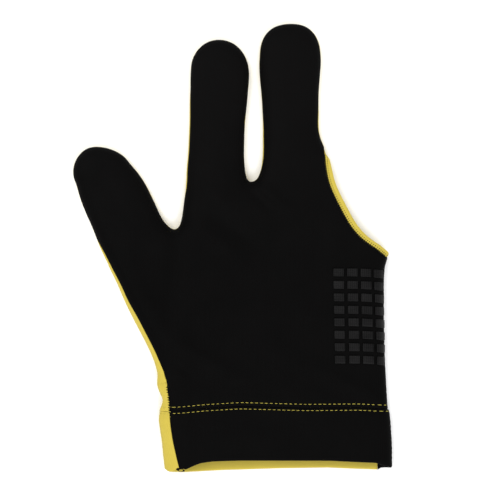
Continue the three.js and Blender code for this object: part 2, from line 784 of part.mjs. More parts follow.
// A flat band that runs round the opening, along its palm side and back along its other side.
function bindingGeometry() {
  const depth = CLOTH + BINDING_CLEARANCE + BINDING_CLOTH / 2;
  const line = openingLine(FINE_STEP).filter((point) => nearestSide(point).distance >= depth);
  const curve = new THREE.SplineCurve(line);
  const stations = [];
  for (let step = 0; step <= BINDING_STATIONS; step += 1) {
    const at = (1 - Math.cos((Math.PI * step) / BINDING_STATIONS)) / 2;
    const plan = curve.getPointAt(at);
    const ahead = curve.getTangentAt(at);
    const out = new THREE.Vector3(-ahead.y, ahead.x, 0);
    const reach = lookUp(BINDING_REACH, at) * BINDING_WIDTH;
    const heights = [1, -1].map((layer) => heightOver(plan, layer, depth));
    if (step === 0 || step === BINDING_STATIONS) heights.fill((heights[0] + heights[1]) / 2);
    stations.push({ plan, out, reach, heights });
  }
  const ring = [
    ...stations.map((station) => ({ ...station, z: station.heights[0] })),
    ...stations.slice(1, -1).reverse().map((station) => ({ ...station, z: station.heights[1] })),
  ];
  const centres = ring.map((station) => new THREE.Vector3(station.plan.x, station.plan.y, station.z));
  const corners = ring.map((station, index) => {
    const next = centres[(index + 1) % ring.length];
    const ahead = next.clone().sub(centres[(index + ring.length - 1) % ring.length]);
    const up = new THREE.Vector3().crossVectors(station.out, ahead).setLength(BINDING_CLOTH / 2);
    const edge = (reach, side) =>
      centres[index].clone().addScaledVector(station.out, reach).addScaledVector(up, side);
    return [
      edge(-BINDING_TUCK, -1),
      edge(station.reach, -1),
      edge(station.reach, 1),
      edge(-BINDING_TUCK, 1),
    ];
  });
  const index = [];
  for (let station = 0; station < ring.length; station += 1) {
    for (let side = 0; side < 4; side += 1) {
      const next = ((station + 1) % ring.length) * 4;
      const [a, b] = [station * 4 + side, station * 4 + ((side + 1) % 4)];
      const [c, d] = [next + ((side + 1) % 4), next + side];
      index.push(a, c, b, a, d, c);
    }
  }
  const geometry = new THREE.BufferGeometry().setFromPoints(corners.flat());
  geometry.setIndex(index);
  geometry.computeVertexNormals();
  return geometry;
}

// A rubber tile that follows the cloth under it, with its top a bevel smaller than its foot.
function tileGeometry(row, column) {
  const y = palmCorner.y - TILE_TOP_MARGIN - TILE_LENGTH / 2 - row * TILE_PITCH_ALONG;
  const sideX = rightPlan.reduce((a, b) => (Math.abs(a.y - y) < Math.abs(b.y - y) ? a : b)).x;
  const margin = TILE_SIDE_MARGIN - row * TILE_DRIFT;
  const steps = TILE_COLUMNS - 1 - column;
  const x = sideX - margin - TILE_WIDTH / 2 - steps * TILE_PITCH_ACROSS;
  const points = [];
  const faces = [];
  const [spansX, spansY] = [3, 1];
  for (let i = 0; i <= spansX; i += 1) {
    for (let j = 0; j <= spansY; j += 1) {
      points.push({ across: i / spansX - 0.5, along: j / spansY - 0.5 });
      if (i < spansX && j < spansY) {
        const corner = i * (spansY + 1) + j;
        faces.push([corner, corner + spansY + 1, corner + spansY + 2]);
        faces.push([corner, corner + spansY + 2, corner + 1]);
      }
    }
  }
  const place = (bevel, depth) =>
    points.map(({ across, along }) => {
      const plan = new THREE.Vector2(
        x + across * (TILE_WIDTH - 2 * bevel),
        y + along * (TILE_LENGTH - 2 * bevel),
      );
      return roll(flatten(plan), 1, depth);
    });
  const top = place(TILE_BEVEL, -SEAM_GAP - TILE_THICKNESS);
  return thickened(faces, top, place(0, -SEAM_GAP), 1);
}

const BLACK_CLOTH = new THREE.MeshStandardMaterial({ color: 0x121212, roughness: 0.85, metalness: 0 });
const YELLOW_CLOTH = new THREE.MeshStandardMaterial({ color: 0xe2cc58, roughness: 0.85, metalness: 0 });
const RUBBER = new THREE.MeshStandardMaterial({ color: 0x262626, roughness: 0.5, metalness: 0 });

function part(name, geometry, material) {
  const mesh = new THREE.Mesh(geometry, material);
  mesh.name = name;
  return mesh;
}

const glove = new THREE.Group();
glove.add(
  part("palm_panel", clothSheet(palmOutline(1), 1, 0, CLOTH), BLACK_CLOTH),
  part("palm_cuff", clothSheet(cuffOutline(1), 1, -CUFF_PROUD, CLOTH), BLACK_CLOTH),
  part("back_panel", clothSheet(palmOutline(-1), -1, 0, CLOTH), YELLOW_CLOTH),
  part("back_cuff", clothSheet(cuffOutline(-1), -1, -CUFF_PROUD, CLOTH), YELLOW_CLOTH),
  part("opening_binding", bindingGeometry(), YELLOW_CLOTH),
);
for (let row = 0; row < TILE_ROWS; row += 1) {
  for (let column = 0; column < TILE_COLUMNS; column += 1) {
    glove.add(part(`grip_tile_${row + 1}_${column + 1}`, tileGeometry(row, column), RUBBER));
  }
}

// The origin is the middle of the glove's box, on the surface that it lies on.
const box = new THREE.Box3().setFromObject(glove);
const centre = box.getCenter(new THREE.Vector3());
glove.position.set(-centre.x, -centre.y, -box.min.z);

export default glove;
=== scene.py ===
"""A three-finger billiard glove that lies flat on a pale floor, palm side up.

The glove is drawn in its plan, with x at 0 near the middle of the palm and y at 0 on the lowest
point of the open cuff. Its sheets of cloth are laid out flat first, and are then rolled over the
sides of the hand. Lengths are in metres, and the tables hold shares of the named sizes."""

import json
import math

import bpy
import numpy as np
from mathutils import Matrix, Vector, geometry

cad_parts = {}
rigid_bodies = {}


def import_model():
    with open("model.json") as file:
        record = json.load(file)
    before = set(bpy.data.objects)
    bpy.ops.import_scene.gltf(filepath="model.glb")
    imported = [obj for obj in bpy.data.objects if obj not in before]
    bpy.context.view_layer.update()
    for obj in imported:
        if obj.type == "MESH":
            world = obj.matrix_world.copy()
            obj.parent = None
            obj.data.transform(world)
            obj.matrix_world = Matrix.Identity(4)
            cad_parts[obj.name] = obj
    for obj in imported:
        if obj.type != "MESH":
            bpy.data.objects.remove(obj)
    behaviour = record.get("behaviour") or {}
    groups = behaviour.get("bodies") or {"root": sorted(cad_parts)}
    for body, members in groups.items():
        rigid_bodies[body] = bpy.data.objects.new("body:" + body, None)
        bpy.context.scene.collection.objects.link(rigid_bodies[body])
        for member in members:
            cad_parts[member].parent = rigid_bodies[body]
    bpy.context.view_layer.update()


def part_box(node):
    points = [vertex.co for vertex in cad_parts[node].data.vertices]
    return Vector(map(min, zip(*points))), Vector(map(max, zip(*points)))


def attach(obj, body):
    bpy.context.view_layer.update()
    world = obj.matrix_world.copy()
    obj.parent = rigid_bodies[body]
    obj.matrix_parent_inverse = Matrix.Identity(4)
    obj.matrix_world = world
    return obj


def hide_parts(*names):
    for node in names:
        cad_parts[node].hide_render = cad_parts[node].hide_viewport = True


bl_info = {
    "name": "Billiard Glove",
    "version": (1, 0, 0),
    "blender": (4, 5, 0),
    "location": "3D View > Sidebar > Glove",
    "description": "Builds a three-finger billiard glove in stretch cloth, laid flat on a pale floor",
    "category": "Add Mesh",
}

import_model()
MM = 0.001
PALM = 1  # the layer of the palm side
BACK = -1  # the layer of the back


def table(columns, *rows):
    """Rows of a table, with the names of their columns."""
    return [dict(zip(columns.split(), row)) for row in rows]


# Sides of the cuff and the palm. along is the share of the height, out the share of the width from
# the middle line, and strip the share of the strip's width that the back's cloth covers.
CUFF_LEFT = table(
    "along out strip",
    (0.0, -0.476, 1.27),
    (0.24, -0.484, 1.13),
    (0.48, -0.491, 0.99),
    (0.73, -0.502, 0.99),
    (0.86, -0.506, 1.0),
    (0.97, -0.504, 0.95),
)
CUFF_RIGHT = table(
    "along out",
    (0.97, 0.492),
    (0.86, 0.496),
    (0.48, 0.503),
    (0.0, 0.505),
)
PALM_LEFT = table(
    "along out strip",
    (0.05, -0.496, 0.62),
    (0.09, -0.511, 0.86),
    (0.13, -0.5215, 0.97),
    (0.19, -0.52, 0.71),
    (0.26, -0.534, 0.54),
    (0.35, -0.565, 0.5),
    (0.48, -0.618, 0.5),
    (0.61, -0.668, 0.37),
)
PALM_RIGHT = table(
    "along out",
    (0.79, 0.484),
    (0.75, 0.481),
    (0.57, 0.478),
    (0.35, 0.481),
    (0.17, 0.488),
    (0.05, 0.493),
)
PALM_CORNER = {"along": 0.839, "out": 0.4945}  # where the opening meets the side of the palm

# Where the stalls start and how they end. out and along are shares of the palm's width and length,
# squareness is 2 for an elliptic tip, and apex is the tip's lean aside as a share of the width.
THUMB = {"out": -0.576, "along": 0.687, "squareness": 1.8, "apex": -0.07}
INDEX = {"out": -0.258, "lean": math.radians(-0.7), "squareness": 2.05, "apex": -0.02}
MIDDLE = {"lean": math.radians(1.1), "squareness": 2.45, "apex": 0.01}

# Sides of the stalls. along is the share of the length, and left and right are shares of the width
# from the stall's axis. The last row is where the round tip starts.
THUMB_SIDES = [
    {"along": 0.0, "left": 0.377, "strip": 0.35},
    {"along": 0.14, "left": 0.394, "strip": 0.26},
    {"along": 0.275, "left": 0.417, "strip": 0.18},
    {"along": 0.385, "left": 0.427, "right": 0.613, "strip": 0.02},
    {"along": 0.5, "left": 0.428, "right": 0.6},
    {"along": 0.61, "left": 0.434, "right": 0.581},
    {"along": 0.71, "left": 0.439, "right": 0.534},
    {"along": 0.796, "left": 0.422, "right": 0.467},
]
INDEX_SIDES = [
    {"along": 0.056, "left": 0.616},
    {"along": 0.167, "left": 0.57},
    {"along": 0.278, "left": 0.539, "right": 0.509},
    {"along": 0.389, "left": 0.52, "right": 0.461},
    {"along": 0.556, "left": 0.5, "right": 0.475},
    {"along": 0.722, "left": 0.493, "right": 0.514},
    {"along": 0.833, "left": 0.488, "right": 0.529},
]
MIDDLE_SIDES = [
    {"along": 0.056, "left": 0.555},
    {"along": 0.111, "left": 0.521},
    {"along": 0.214, "left": 0.494, "right": 0.542},
    {"along": 0.278, "left": 0.49, "right": 0.48},
    {"along": 0.333, "left": 0.488, "right": 0.458},
    {"along": 0.5, "left": 0.497, "right": 0.462},
    {"along": 0.667, "left": 0.524, "right": 0.491},
    {"along": 0.778, "left": 0.529, "right": 0.516},
]

# Webs between two stalls. across is the share of the way over, and drop the share of the depth.
THUMB_WEB = table(
    "across drop",
    (0.22, 0.52),
    (0.45, 0.88),
    (0.68, 1.0),
    (0.86, 0.74),
)
FINGER_WEB = table(
    "across drop",
    (0.18, 0.76),
    (0.47, 1.0),
    (0.78, 0.78),
)

# Edge of the opening, from the middle finger to the side of the palm. along is the share of the
# straight way, and dip the share of its length by which the edge lies inside it.
OPENING = table(
    "along dip",
    (0.09, 0.052),
    (0.26, 0.114),
    (0.46, 0.1345),
    (0.66, 0.1325),
    (0.78, 0.1035),
    (0.89, 0.0525),
)

# The binding's reach beyond the palm's cloth, as a share of its width.
BINDING_REACH = table(
    "at share",
    (0.0, 0.06),
    (0.03, 0.18),
    (0.05, 0.38),
    (0.075, 0.62),
    (0.1, 0.78),
    (0.14, 0.88),
    (0.2, 0.97),
    (0.5, 1.02),
    (0.7, 0.94),
    (0.85, 0.86),
    (1.0, 0.95),
)

# The folded binding's section. across is the share of its reach, or of its tuck where it is below
# 0, and up the share of its thickness from the middle.
BINDING_SECTION = table(
    "across up",
    (-1.0, -0.3),
    (-0.4, -0.42),
    (0.15, -0.55),
    (0.5, -0.7),
    (0.8, -0.55),
    (0.96, -0.22),
    (1.0, 0.15),
    (0.93, 0.5),
    (0.75, 0.82),
    (0.5, 0.98),
    (0.25, 0.9),
    (0.0, 0.55),
    (-0.3, 0.28),
    (-1.0, 0.2),
)

# Lines across the cuff. at is the share of its width from the thumb side, and share a rise: of the
# hem's step for the two hems, and of the cuff's height for the seam with the palm.
PALM_HEM = table(
    "at share",
    (0.0, 0.24),
    (0.006, 0.12),
    (0.018, 0.07),
    (0.035, 0.19),
    (0.058, 0.36),
    (0.068, 0.38),
    (0.08, 0.31),
    (0.09, 0.29),
    (0.104, 0.43),
    (0.129, 0.64),
    (0.153, 0.81),
    (0.206, 0.96),
    (0.33, 1.03),
    (0.73, 1.02),
    (0.82, 0.93),
    (0.93, 0.84),
    (1.0, 0.4),
)
BACK_HEM = table(
    "at share",
    (0.0, 0.24),
    (0.006, 0.1),
    (0.018, 0.02),
    (0.08, 0.0),
    (0.25, 0.17),
    (0.5, 0.32),
    (0.72, 0.38),
    (0.83, 0.29),
    (0.942, 0.22),
    (0.952, 0.37),
    (0.975, 0.4),
    (1.0, 0.4),
)
CUFF_SEAM = table(
    "at share",
    (0.0, 0.955),
    (0.07, 0.965),
    (0.17, 1.0),
    (0.33, 1.033),
    (0.62, 1.005),
    (0.86, 1.012),
    (1.0, 0.985),
)

# Thickness along the whole glove, as a share of the hand's.
FULLNESS = table(
    "at share",
    (0.0, 0.82),
    (0.14, 0.82),
    (0.35, 1.0),
    (0.55, 0.92),
    (0.68, 0.82),
    (0.9, 0.77),
    (1.0, 0.74),
)
CROWN_SHARE = 0.16  # of the hand's thickness, by which the palm side is higher in its middle

# Soft folds on the palm side: ridges where rise is above 0 and dents where it is below. Ends are
# shares of the palm's width from the middle line and of its length from the cuff's seam, and rise
# and spread are shares of the hand's thickness.
FOLDS = table(
    "x1 y1 x2 y2 rise spread",
    (-0.118, 1.234, -0.013, 1.117, -0.09, 0.28),
    (-0.083, 1.246, 0.04, 1.128, 0.08, 0.28),
    (-0.291, 1.223, -0.19, 1.117, 0.11, 0.45),
    (-0.234, 1.055, -0.06, 0.882, -0.09, 0.36),
    (-0.379, 1.055, -0.159, 0.838, 0.1, 0.38),
    (-0.423, 0.968, -0.476, 0.469, -0.08, 0.4),
    (-0.7, 0.81, -0.49, 0.39, 0.09, 0.5),
    (-0.49, 0.39, -0.21, 0.21, 0.1, 0.4),
    (-0.45, 0.255, -0.35, 0.185, -0.09, 0.3),
    (0.19, 0.205, 0.44, 0.065, 0.09, 0.36),
)

# Slivers of the back's cloth seen along the stalls. x is a share of the palm's width from the middle
# line, and low and high are shares of the whole length.
SLIVERS = table(
    "x low high",
    (-0.377, 0.6, 0.87),
    (-0.06, 0.66, 0.82),
    (0.188, 0.73, 0.84),
)

# The tiles' columns, seen from above. out is from the opening's corner in to a tile's near side,
# drift each row's step towards the side, drop how far the column lies lower and narrow how much less
# wide each tile is in the first row and in the last, all as shares of the pitch across or of a tile.
# slope is the fall of a tile's edge, and thin how much thinner its far side is.
TILE_ROWS = 8
TILE_COLUMNS = [
    {"out": 3.98, "drift": 0.0146, "slope": 0.01, "drop": 0.0, "narrow": (0.0, 0.0), "thin": 0.0},
    {"out": 2.99, "drift": 0.0249, "slope": 0.01, "drop": 0.0, "narrow": (0.0, 0.0), "thin": 0.0},
    {"out": 2.0, "drift": 0.0272, "slope": 0.05, "drop": 0.05, "narrow": (0.0, 0.0), "thin": 0.0},
    {"out": 1.04, "drift": 0.0336, "slope": 0.1, "drop": 0.18, "narrow": (0.1, 0.25), "thin": 0.6},
]

# How lines are cut, and how many points are taken at once.
CURVE_CUTS = 24
POINTS_AT_ONCE = 1500
SIDE_STEP = 0.7 * MM
ON_SIDE = 0.02 * MM  # closer than this, a point takes the side's own direction
PAST_ENDS = 3  # how far the sides run on past the glove, in edge rounds
OUTLINE_STEP = 0.8  # along a sheet's edge, as a share of the step inside it

# Form of the cloth. The cuff's lift ends and fades over shares of the cuff's height.
CUFF_LIFT = {"ends": 1.4, "over": 0.35}
FOLD_FADE = 0.55
WHOLE_TRIM = 0.5  # the share of the strip from which its trim is whole

# Relief of the cloth. A wave's rise is a share of its length, and the other lengths are for a radian.
WAVES = {"seed": 7, "count": 14, "shortest": 11 * MM, "longest": 30 * MM, "rise": 0.0016}
GATHERS = {
    "length": 1.05 * MM,
    "drift": 1.7,
    "drift_length": 6.1 * MM,
    "reach": 5.5 * MM,
    "rise": 0.1 * MM,
}
PUCKERS = {"length": 0.8 * MM, "start": 3 * MM, "reach": 12 * MM, "rise": 0.14 * MM}
STRIP_REACH = 9 * MM
BACK_RELIEF = 0.6
GROOVE = {"depth": 0.13 * MM, "reach": 0.55 * MM}
SWELLING = {"start": 0.3 * MM, "reach": 1.2 * MM, "reach_at_strip": 6 * MM}
SLIVER_ENDS = {"close": 8 * MM, "low": 10 * MM, "high": 14 * MM}

# Rounds of the sheets' edges, and the rows of points laid beside them.
EDGE_ROWS = (0.25 * MM, 0.6 * MM, 1.1 * MM)
ROW_SPACE = 0.93
SEAM_ROUND = {"palm": 0.15 * MM, "back": 0.07 * MM, "reach": 0.45 * MM}
RAW_ROUND = {"depth": 0.3 * MM, "reach": 0.6 * MM}
HEM_ROUND = {"share": 0.44, "reach": 0.95 * MM}

# Stitches. lift is the height over the cloth, and bow the rise of a thread in its middle.
SLOPE_REACH = 0.25 * MM
THREAD = {
    "sides": 6,
    "rings": 6,
    "flatness": 0.84,
    "fullness": 2.5,
    "most": 1.6,
    "least": 0.2,
    "spacing": 0.7 * MM,
}
TOPSTITCH = {
    "edge_step": 1.0 * MM,
    "row_step": 0.5 * MM,
    "seeds_per_metre": 1e6,
    "sway": 0.05 * MM,
    "shortest": 0.85,
    "longest": 1.1,
    "lift": 0.03 * MM,
    "bow": 0.16 * MM,
}
COVER = {
    "inside": 0.5 * MM,
    "least_reach": 0.3,
    "out": 0.8 * MM,
    "most": 0.5,
    "rise": 0.1,
    "lift": 0.05 * MM,
    "bow": 0.06 * MM,
}
MARK = {
    "out": 1.3 * MM,
    "most": 0.7,
    "rise": 0.03,
    "start": 0.8,
    "end": 1.2,
    "length": 0.38 * MM,
    "width": 0.48 * MM,
}
TOOTH = {
    "start": 0.4 * MM,
    "end": -0.5 * MM,
    "slant": 0.2,
    "lift": -0.02 * MM,
    "normal_lift": 0.1 * MM,
    "width": 0.44 * MM,
    "bow": 0.14 * MM,
}
CROSSING = {
    "start": -0.25 * MM,
    "end": 0.4 * MM,
    "lift": 0.03 * MM,
    "width": 0.26 * MM,
    "bow": 0.14 * MM,
}
OVERLOCK = {"low": 0.8, "crossed": 1.18, "high": 1.36}  # in cuff heights

# The seam-end knot, in millimetres from the hem's corner. The corner is taken at a depth in the cloth.
KNOT_DEPTH = 0.3
KNOT_LUMPS = [
    {"place": (-0.75, -0.35, 0.55), "radii": (0.72, 0.62, 0.5)},
    {"place": (2.15, -1.1, 0.1), "radii": (0.5, 0.48, 0.42)},
    {"place": (0.7, 0.1, 0.1), "radii": (1.15, 0.5, 0.42)},
]
KNOT_ROUGHNESS = [
    {"share": 0.12, "way": (5.0, 7.0, 3.0)},
    {"share": 0.08, "way": (-9.0, 4.0, 8.0)},
]
KNOT_LOOP = {
    "place": (0.85, -0.85, 0.3),
    "radius": 0.95,
    "thread": 0.17,
    "segments": 28,
    "sides": 8,
    "stretch": (1.25, 0.75, 1.0),
}

# The binding. depth is from the cloth's inner face to the binding's middle, outer_from the first row
# of its section's outer face, and gather how much it swells between two stitches.
BINDING = {
    "depth": 0.9 * MM,
    "step": 0.7 * MM,
    "section_step": 0.12,
    "outer_from": 6,
    "gather": 0.035,
    "gathered_at": 0.3,
    "flat_rise": 0.7 * MM,
}

# The tiles' shape. They reach down past the cloth's face.
TILE_SUNK = 0.15 * MM
TILE_SEGMENTS = 3
TILE_CUTS = 3

# Finishes. depth is the height of the loops or ribs, contrast how far the base colour swings with the
# uneven dye and the painted shade of the knit's loops, and stretch how much painted sheen lightens
# the base colour over the stalls.
KNIT = {
    "wale": 0.62 * MM,
    "course": 0.5 * MM,
    "lean": 1.3,
    "loops": 0.28,
    "ribs": 0.22,
    "fuzz": 0.25,
    # dye is the uneven dye's share of the base colour's swing, and the rest is painted shade of the knit's
    # loops
    "dye": 0.45,
    "sheen_roughness": 0.5,
    # where the painted sheen over the stalls starts along the cloth, and where it is full
    "painted_sheen_from": 100 * MM,
    "painted_sheen_to": 190 * MM,
}
BLACK_KNIT = {
    "roughness": 0.5,
    "specular": 0.021,
    "sheen": 0.003,
    "depth": 0.055 * MM,
    "contrast": 0.6,
    # stretch: painted sheen, the base colour made lighter over the stalls
    "stretch": 0.5,
}
YELLOW_KNIT = {
    "roughness": 0.8,
    "specular": 0.08,
    "sheen": 0.08,
    "depth": 0.07 * MM,
    "contrast": 0.1,
    "stretch": 0.0,
}
# the back's cuff band gets a darker copy of the yellow cloth: painted shade
PAINTED_SHADE_SHARE = 0.96
TWIST = {
    "roughness": 0.6,
    "specular": 0.08,
    "slant": 0.8,
    "pitch": 0.3 * MM,
    "depth": 0.03 * MM,
    "dark": 0.45,
    "light": 1.35,
}
RUBBER = {
    "roughness": 0.38,
    "specular": 0.08,
    "rib": 0.98 * MM,
    "row": 1.3 * MM,
    "rows": 0.35,
    "grain": 0.3,
    "depth": 0.04 * MM,
    "broad": 1.2,
    "patches": 0.8,
    "level": -0.5,
    # hatch: painted shade, how far the hatch's grooves darken and its ribs lighten the base colour
    "hatch": 0.2,
    "dark": 0.2,
    "light": 1.8,
}
FLOOR = {"size": 6.0, "level": -0.15 * MM, "roughness": 0.9, "specular": 0.1, "dark": 0.995}

# Noises. scale is in waves for each metre.
FUZZ = {"scale": 2600.0, "detail": 2.0}
DYE = {"scale": 70.0, "detail": 3.0}
THREAD_PATCHES = {"scale": 260.0, "detail": 2.0}
RUBBER_GRAIN = {"scale": 1800.0, "detail": 2.0}
RUBBER_PATCHES = {"scale": 190.0, "detail": 3.0}
RUBBER_BROAD = {"scale": 75.0, "detail": 1.0}
FLOOR_GRAIN = {"scale": 40.0, "detail": 2.0}

# The stage. The camera looks straight down on its aim.
LIGHTS = [
    {"name": "key_light", "place": (-1.0, 0.8, 2.2), "size": 1.5, "power": 24.0},
    {"name": "fill_light", "place": (0.6, -1.5, 1.6), "size": 1.3, "power": 25.0},
]
WORLD_STRENGTH = 0.95
CAMERA = {
    "aim": (8.5 * MM, -0.8 * MM, 6 * MM),
    "view_width": 0.2445,
    "lens": 300.0,
    "sensor": 36.0,
    "nearest": 0.01,
    "farthest": 20.0,
}


def length(name, description, default):
    """A size in metres."""
    return bpy.props.FloatProperty(
        name=name, description=description, default=default, min=0.0, precision=5, unit="LENGTH"
    )


def colour(name, description, default):
    """A surface colour, in linear light."""
    return bpy.props.FloatVectorProperty(
        name=name, description=description, default=default, size=4, min=0.0, max=1.0, subtype="COLOR"
    )


class GloveSizes(bpy.types.PropertyGroup):
    """Real sizes of the glove."""

    palm_width: length("Palm width", "Across the palm", 0.111)
    palm_length: length("Palm length", "From the cuff's seam to the root of the index finger", 0.0875)
    cuff_width: length("Cuff width", "Across the cuff", 0.112)
    cuff_height: length("Cuff height", "From the open end to the seam", 0.0315)
    hem_step: length("Hem step", "How far the palm side's hem stops short of the back's", 0.0058)
    thumb_length: length("Thumb length", "Length of the thumb's stall", 0.0726)
    thumb_width: length("Thumb width", "Width of the thumb's stall", 0.032)
    thumb_lean: bpy.props.FloatProperty(
        name="Thumb lean",
        description="Angle of the thumb's stall away from the palm",
        default=math.radians(21.2),
        subtype="ANGLE",
    )
    index_length: length("Index length", "Length of the index finger's stall", 0.0927)
    index_width: length("Index width", "Width of the index finger's stall", 0.028)
    middle_length: length("Middle length", "Length of the middle finger's stall", 0.0769)
    middle_width: length("Middle width", "Width of the middle finger's stall", 0.029)
    finger_gap: length("Finger gap", "Between the index and the middle finger", 0.0087)
    knuckle_step: length("Knuckle step", "From the index finger's root up to the middle's", 0.0235)
    thumb_web: length("Thumb web", "Depth of the web beside the thumb", 0.0055)
    finger_web: length("Finger web", "Depth of the web between the fingers", 0.0031)
    cloth: length("Cloth", "Thickness of the stretch cloth", 0.001)
    cuff_proud: length("Cuff proud", "How far the doubled cuff stands out", 0.0006)
    strip_width: length("Strip width", "The back's cloth seen beside the thumb", 0.006)
    strip_trim: length("Strip trim", "Taken off the strip by the round edges of its seam", 0.0009)
    sliver: length("Sliver", "Width of the back's cloth beside the stalls", 0.0011)
    side_wrap: length("Side wrap", "The palm's cloth folded round to the back", 0.0064)
    hand_thickness: length("Hand thickness", "Thickness of the glove as it lies", 0.011)
    edge_round: length("Edge round", "How far in the cloth rolls over a side", 0.0065)
    crown_reach: length("Crown reach", "From a side to where the palm side is highest", 0.0128)
    seam_gap: length("Seam gap", "Between two pieces of cloth at a seam", 0.00008)
    binding_width: length("Binding width", "The binding beyond the palm's cloth", 0.0035)
    binding_tuck: length("Binding tuck", "The binding under the palm's cloth", 0.0028)
    binding_thickness: length("Binding thickness", "Thickness of the folded binding", 0.0015)
    tile_width: length("Tile width", "Width of a grip tile", 0.0053)
    tile_length: length("Tile length", "Length of a grip tile", 0.004)
    tile_thickness: length("Tile thickness", "Thickness of a grip tile", 0.0008)
    tile_across: length("Tile pitch across", "From one column of tiles to the next", 0.0067)
    tile_along: length("Tile pitch along", "From one row of tiles to the next", 0.00608)
    tile_top: length("Tile top margin", "From the opening's corner to the first row", 0.005)
    tile_bevel: length("Tile bevel", "Round of a tile's upper edges", 0.00035)
    stitch_pitch: length("Stitch pitch", "From one topstitch to the next", 0.00235)
    stitch_length: length("Stitch length", "Length of a topstitch", 0.0016)
    stitch_width: length("Stitch width", "Width of the topstitch thread", 0.00024)
    upper_row: length("Upper row", "From the cuff's seam up to the row on the palm", 0.00185)
    lower_row: length("Lower row", "From the cuff's seam down to the row on the cuff", 0.0012)
    cover_pitch: length("Cover pitch", "From one cover stitch to the next", 0.00114)
    cover_width: length("Cover width", "Width of the cover stitch thread", 0.00048)
    tooth_pitch: length("Overlock pitch", "From one overlock stitch to the next", 0.00125)
    mesh_step: length("Mesh step", "Distance between the points of a sheet", 0.00135)


class GloveColours(bpy.types.PropertyGroup):
    """Colours of the glove and the floor, in linear light."""

    black_cloth: colour("Black cloth", "Stretch cloth of the palm", (0.0017, 0.0016, 0.0016, 1.0))
    yellow_cloth: colour("Yellow cloth", "Stretch cloth of the back", (0.51, 0.402, 0.061, 1.0))
    grip_rubber: colour("Grip rubber", "Rubber of the tiles", (0.0038, 0.0036, 0.0037, 1.0))
    black_thread: colour("Black thread", "Thread of the seams", (0.0022, 0.002, 0.002, 1.0))
    yellow_thread: colour("Yellow thread", "Thread of the topstitch", (0.56, 0.475, 0.085, 1.0))
    floor: colour("Floor", "Plain pale floor", (0.98, 0.98, 0.98, 1.0))


# Lines and tables


def smooth_line(points, step):
    """A centripetal Catmull-Rom curve through the points, cut at even steps."""
    points = np.asarray(points, float)
    ends = np.vstack([2 * points[0] - points[1], points, 2 * points[-1] - points[-2]])
    share = np.linspace(0, 1, CURVE_CUTS, endpoint=False)[:, None]
    fine = []
    for before, start, end, after in zip(ends, ends[1:], ends[2:], ends[3:]):
        spans = (start - before, end - start, after - end)
        first, middle, last = (math.sqrt(np.linalg.norm(span)) for span in spans)
        leave = spans[0] / first - (end - before) / (first + middle) + spans[1] / middle
        arrive = spans[1] / middle - (after - start) / (middle + last) + spans[2] / last
        leave, arrive = leave * middle, arrive * middle
        square = 3 * (end - start) - 2 * leave - arrive
        cube = 2 * (start - end) + leave + arrive
        fine.append(start + leave * share + square * share**2 + cube * share**3)
    return even_line(np.vstack([*fine, points[-1:]]), step)


def even_line(points, step):
    """The same line with its points at even steps."""
    spans = np.linalg.norm(np.diff(points, axis=0), axis=1)
    lengths = np.concatenate([[0.0], np.cumsum(spans)])
    at = np.linspace(0, lengths[-1], max(1, round(lengths[-1] / step)) + 1)
    return np.column_stack([np.interp(at, lengths, points[:, axis]) for axis in (0, 1)])


def share_at(table, at):
    """A table's share at each place, straight between its rows."""
    return np.interp(at, [row["at"] for row in table], [row["share"] for row in table])


def smoothstep(value, low, high):
    """0 below low, 1 above high and smooth between them."""
    share = np.clip((value - low) / (high - low), 0, 1)
    return share * share * (3 - 2 * share)


def unit(vectors):
    """The same directions with a length of one."""
    return vectors / np.maximum(np.linalg.norm(vectors, axis=-1, keepdims=True), 1e-12)


def directions(line):
    """The way ahead at each point of a line, and the way to the left of it."""
    ahead = unit(np.vstack([line[1] - line[0], line[2:] - line[:-2], line[-1] - line[-2]]))
    return ahead, np.column_stack([-ahead[:, 1], ahead[:, 0]])


def distance_to_line(points, line):
    """The distance from each point to an open line."""
    starts, spans = line[:-1], np.diff(line, axis=0)
    squares = np.maximum((spans**2).sum(1), 1e-18)
    least = np.empty(len(points))
    for first in range(0, len(points), POINTS_AT_ONCE):
        offset = points[first : first + POINTS_AT_ONCE, None] - starts[None]
        share = np.clip((offset * spans).sum(2) / squares, 0, 1)
        offset -= share[..., None] * spans
        least[first : first + POINTS_AT_ONCE] = np.sqrt((offset**2).sum(2).min(1))
    return least


def is_inside(points, loop):
    """Whether each point lies inside a closed loop."""
    inside = np.zeros(len(points), bool)
    for start, end in zip(loop, np.roll(loop, -1, axis=0)):
        if start[1] == end[1]:
            continue
        crosses = (start[1] > points[:, 1]) != (end[1] > points[:, 1])
        at = start[0] + (end[0] - start[0]) * (points[:, 1] - start[1]) / (end[1] - start[1])
        inside ^= crosses & (points[:, 0] < at)
    return inside


# The plan of the glove


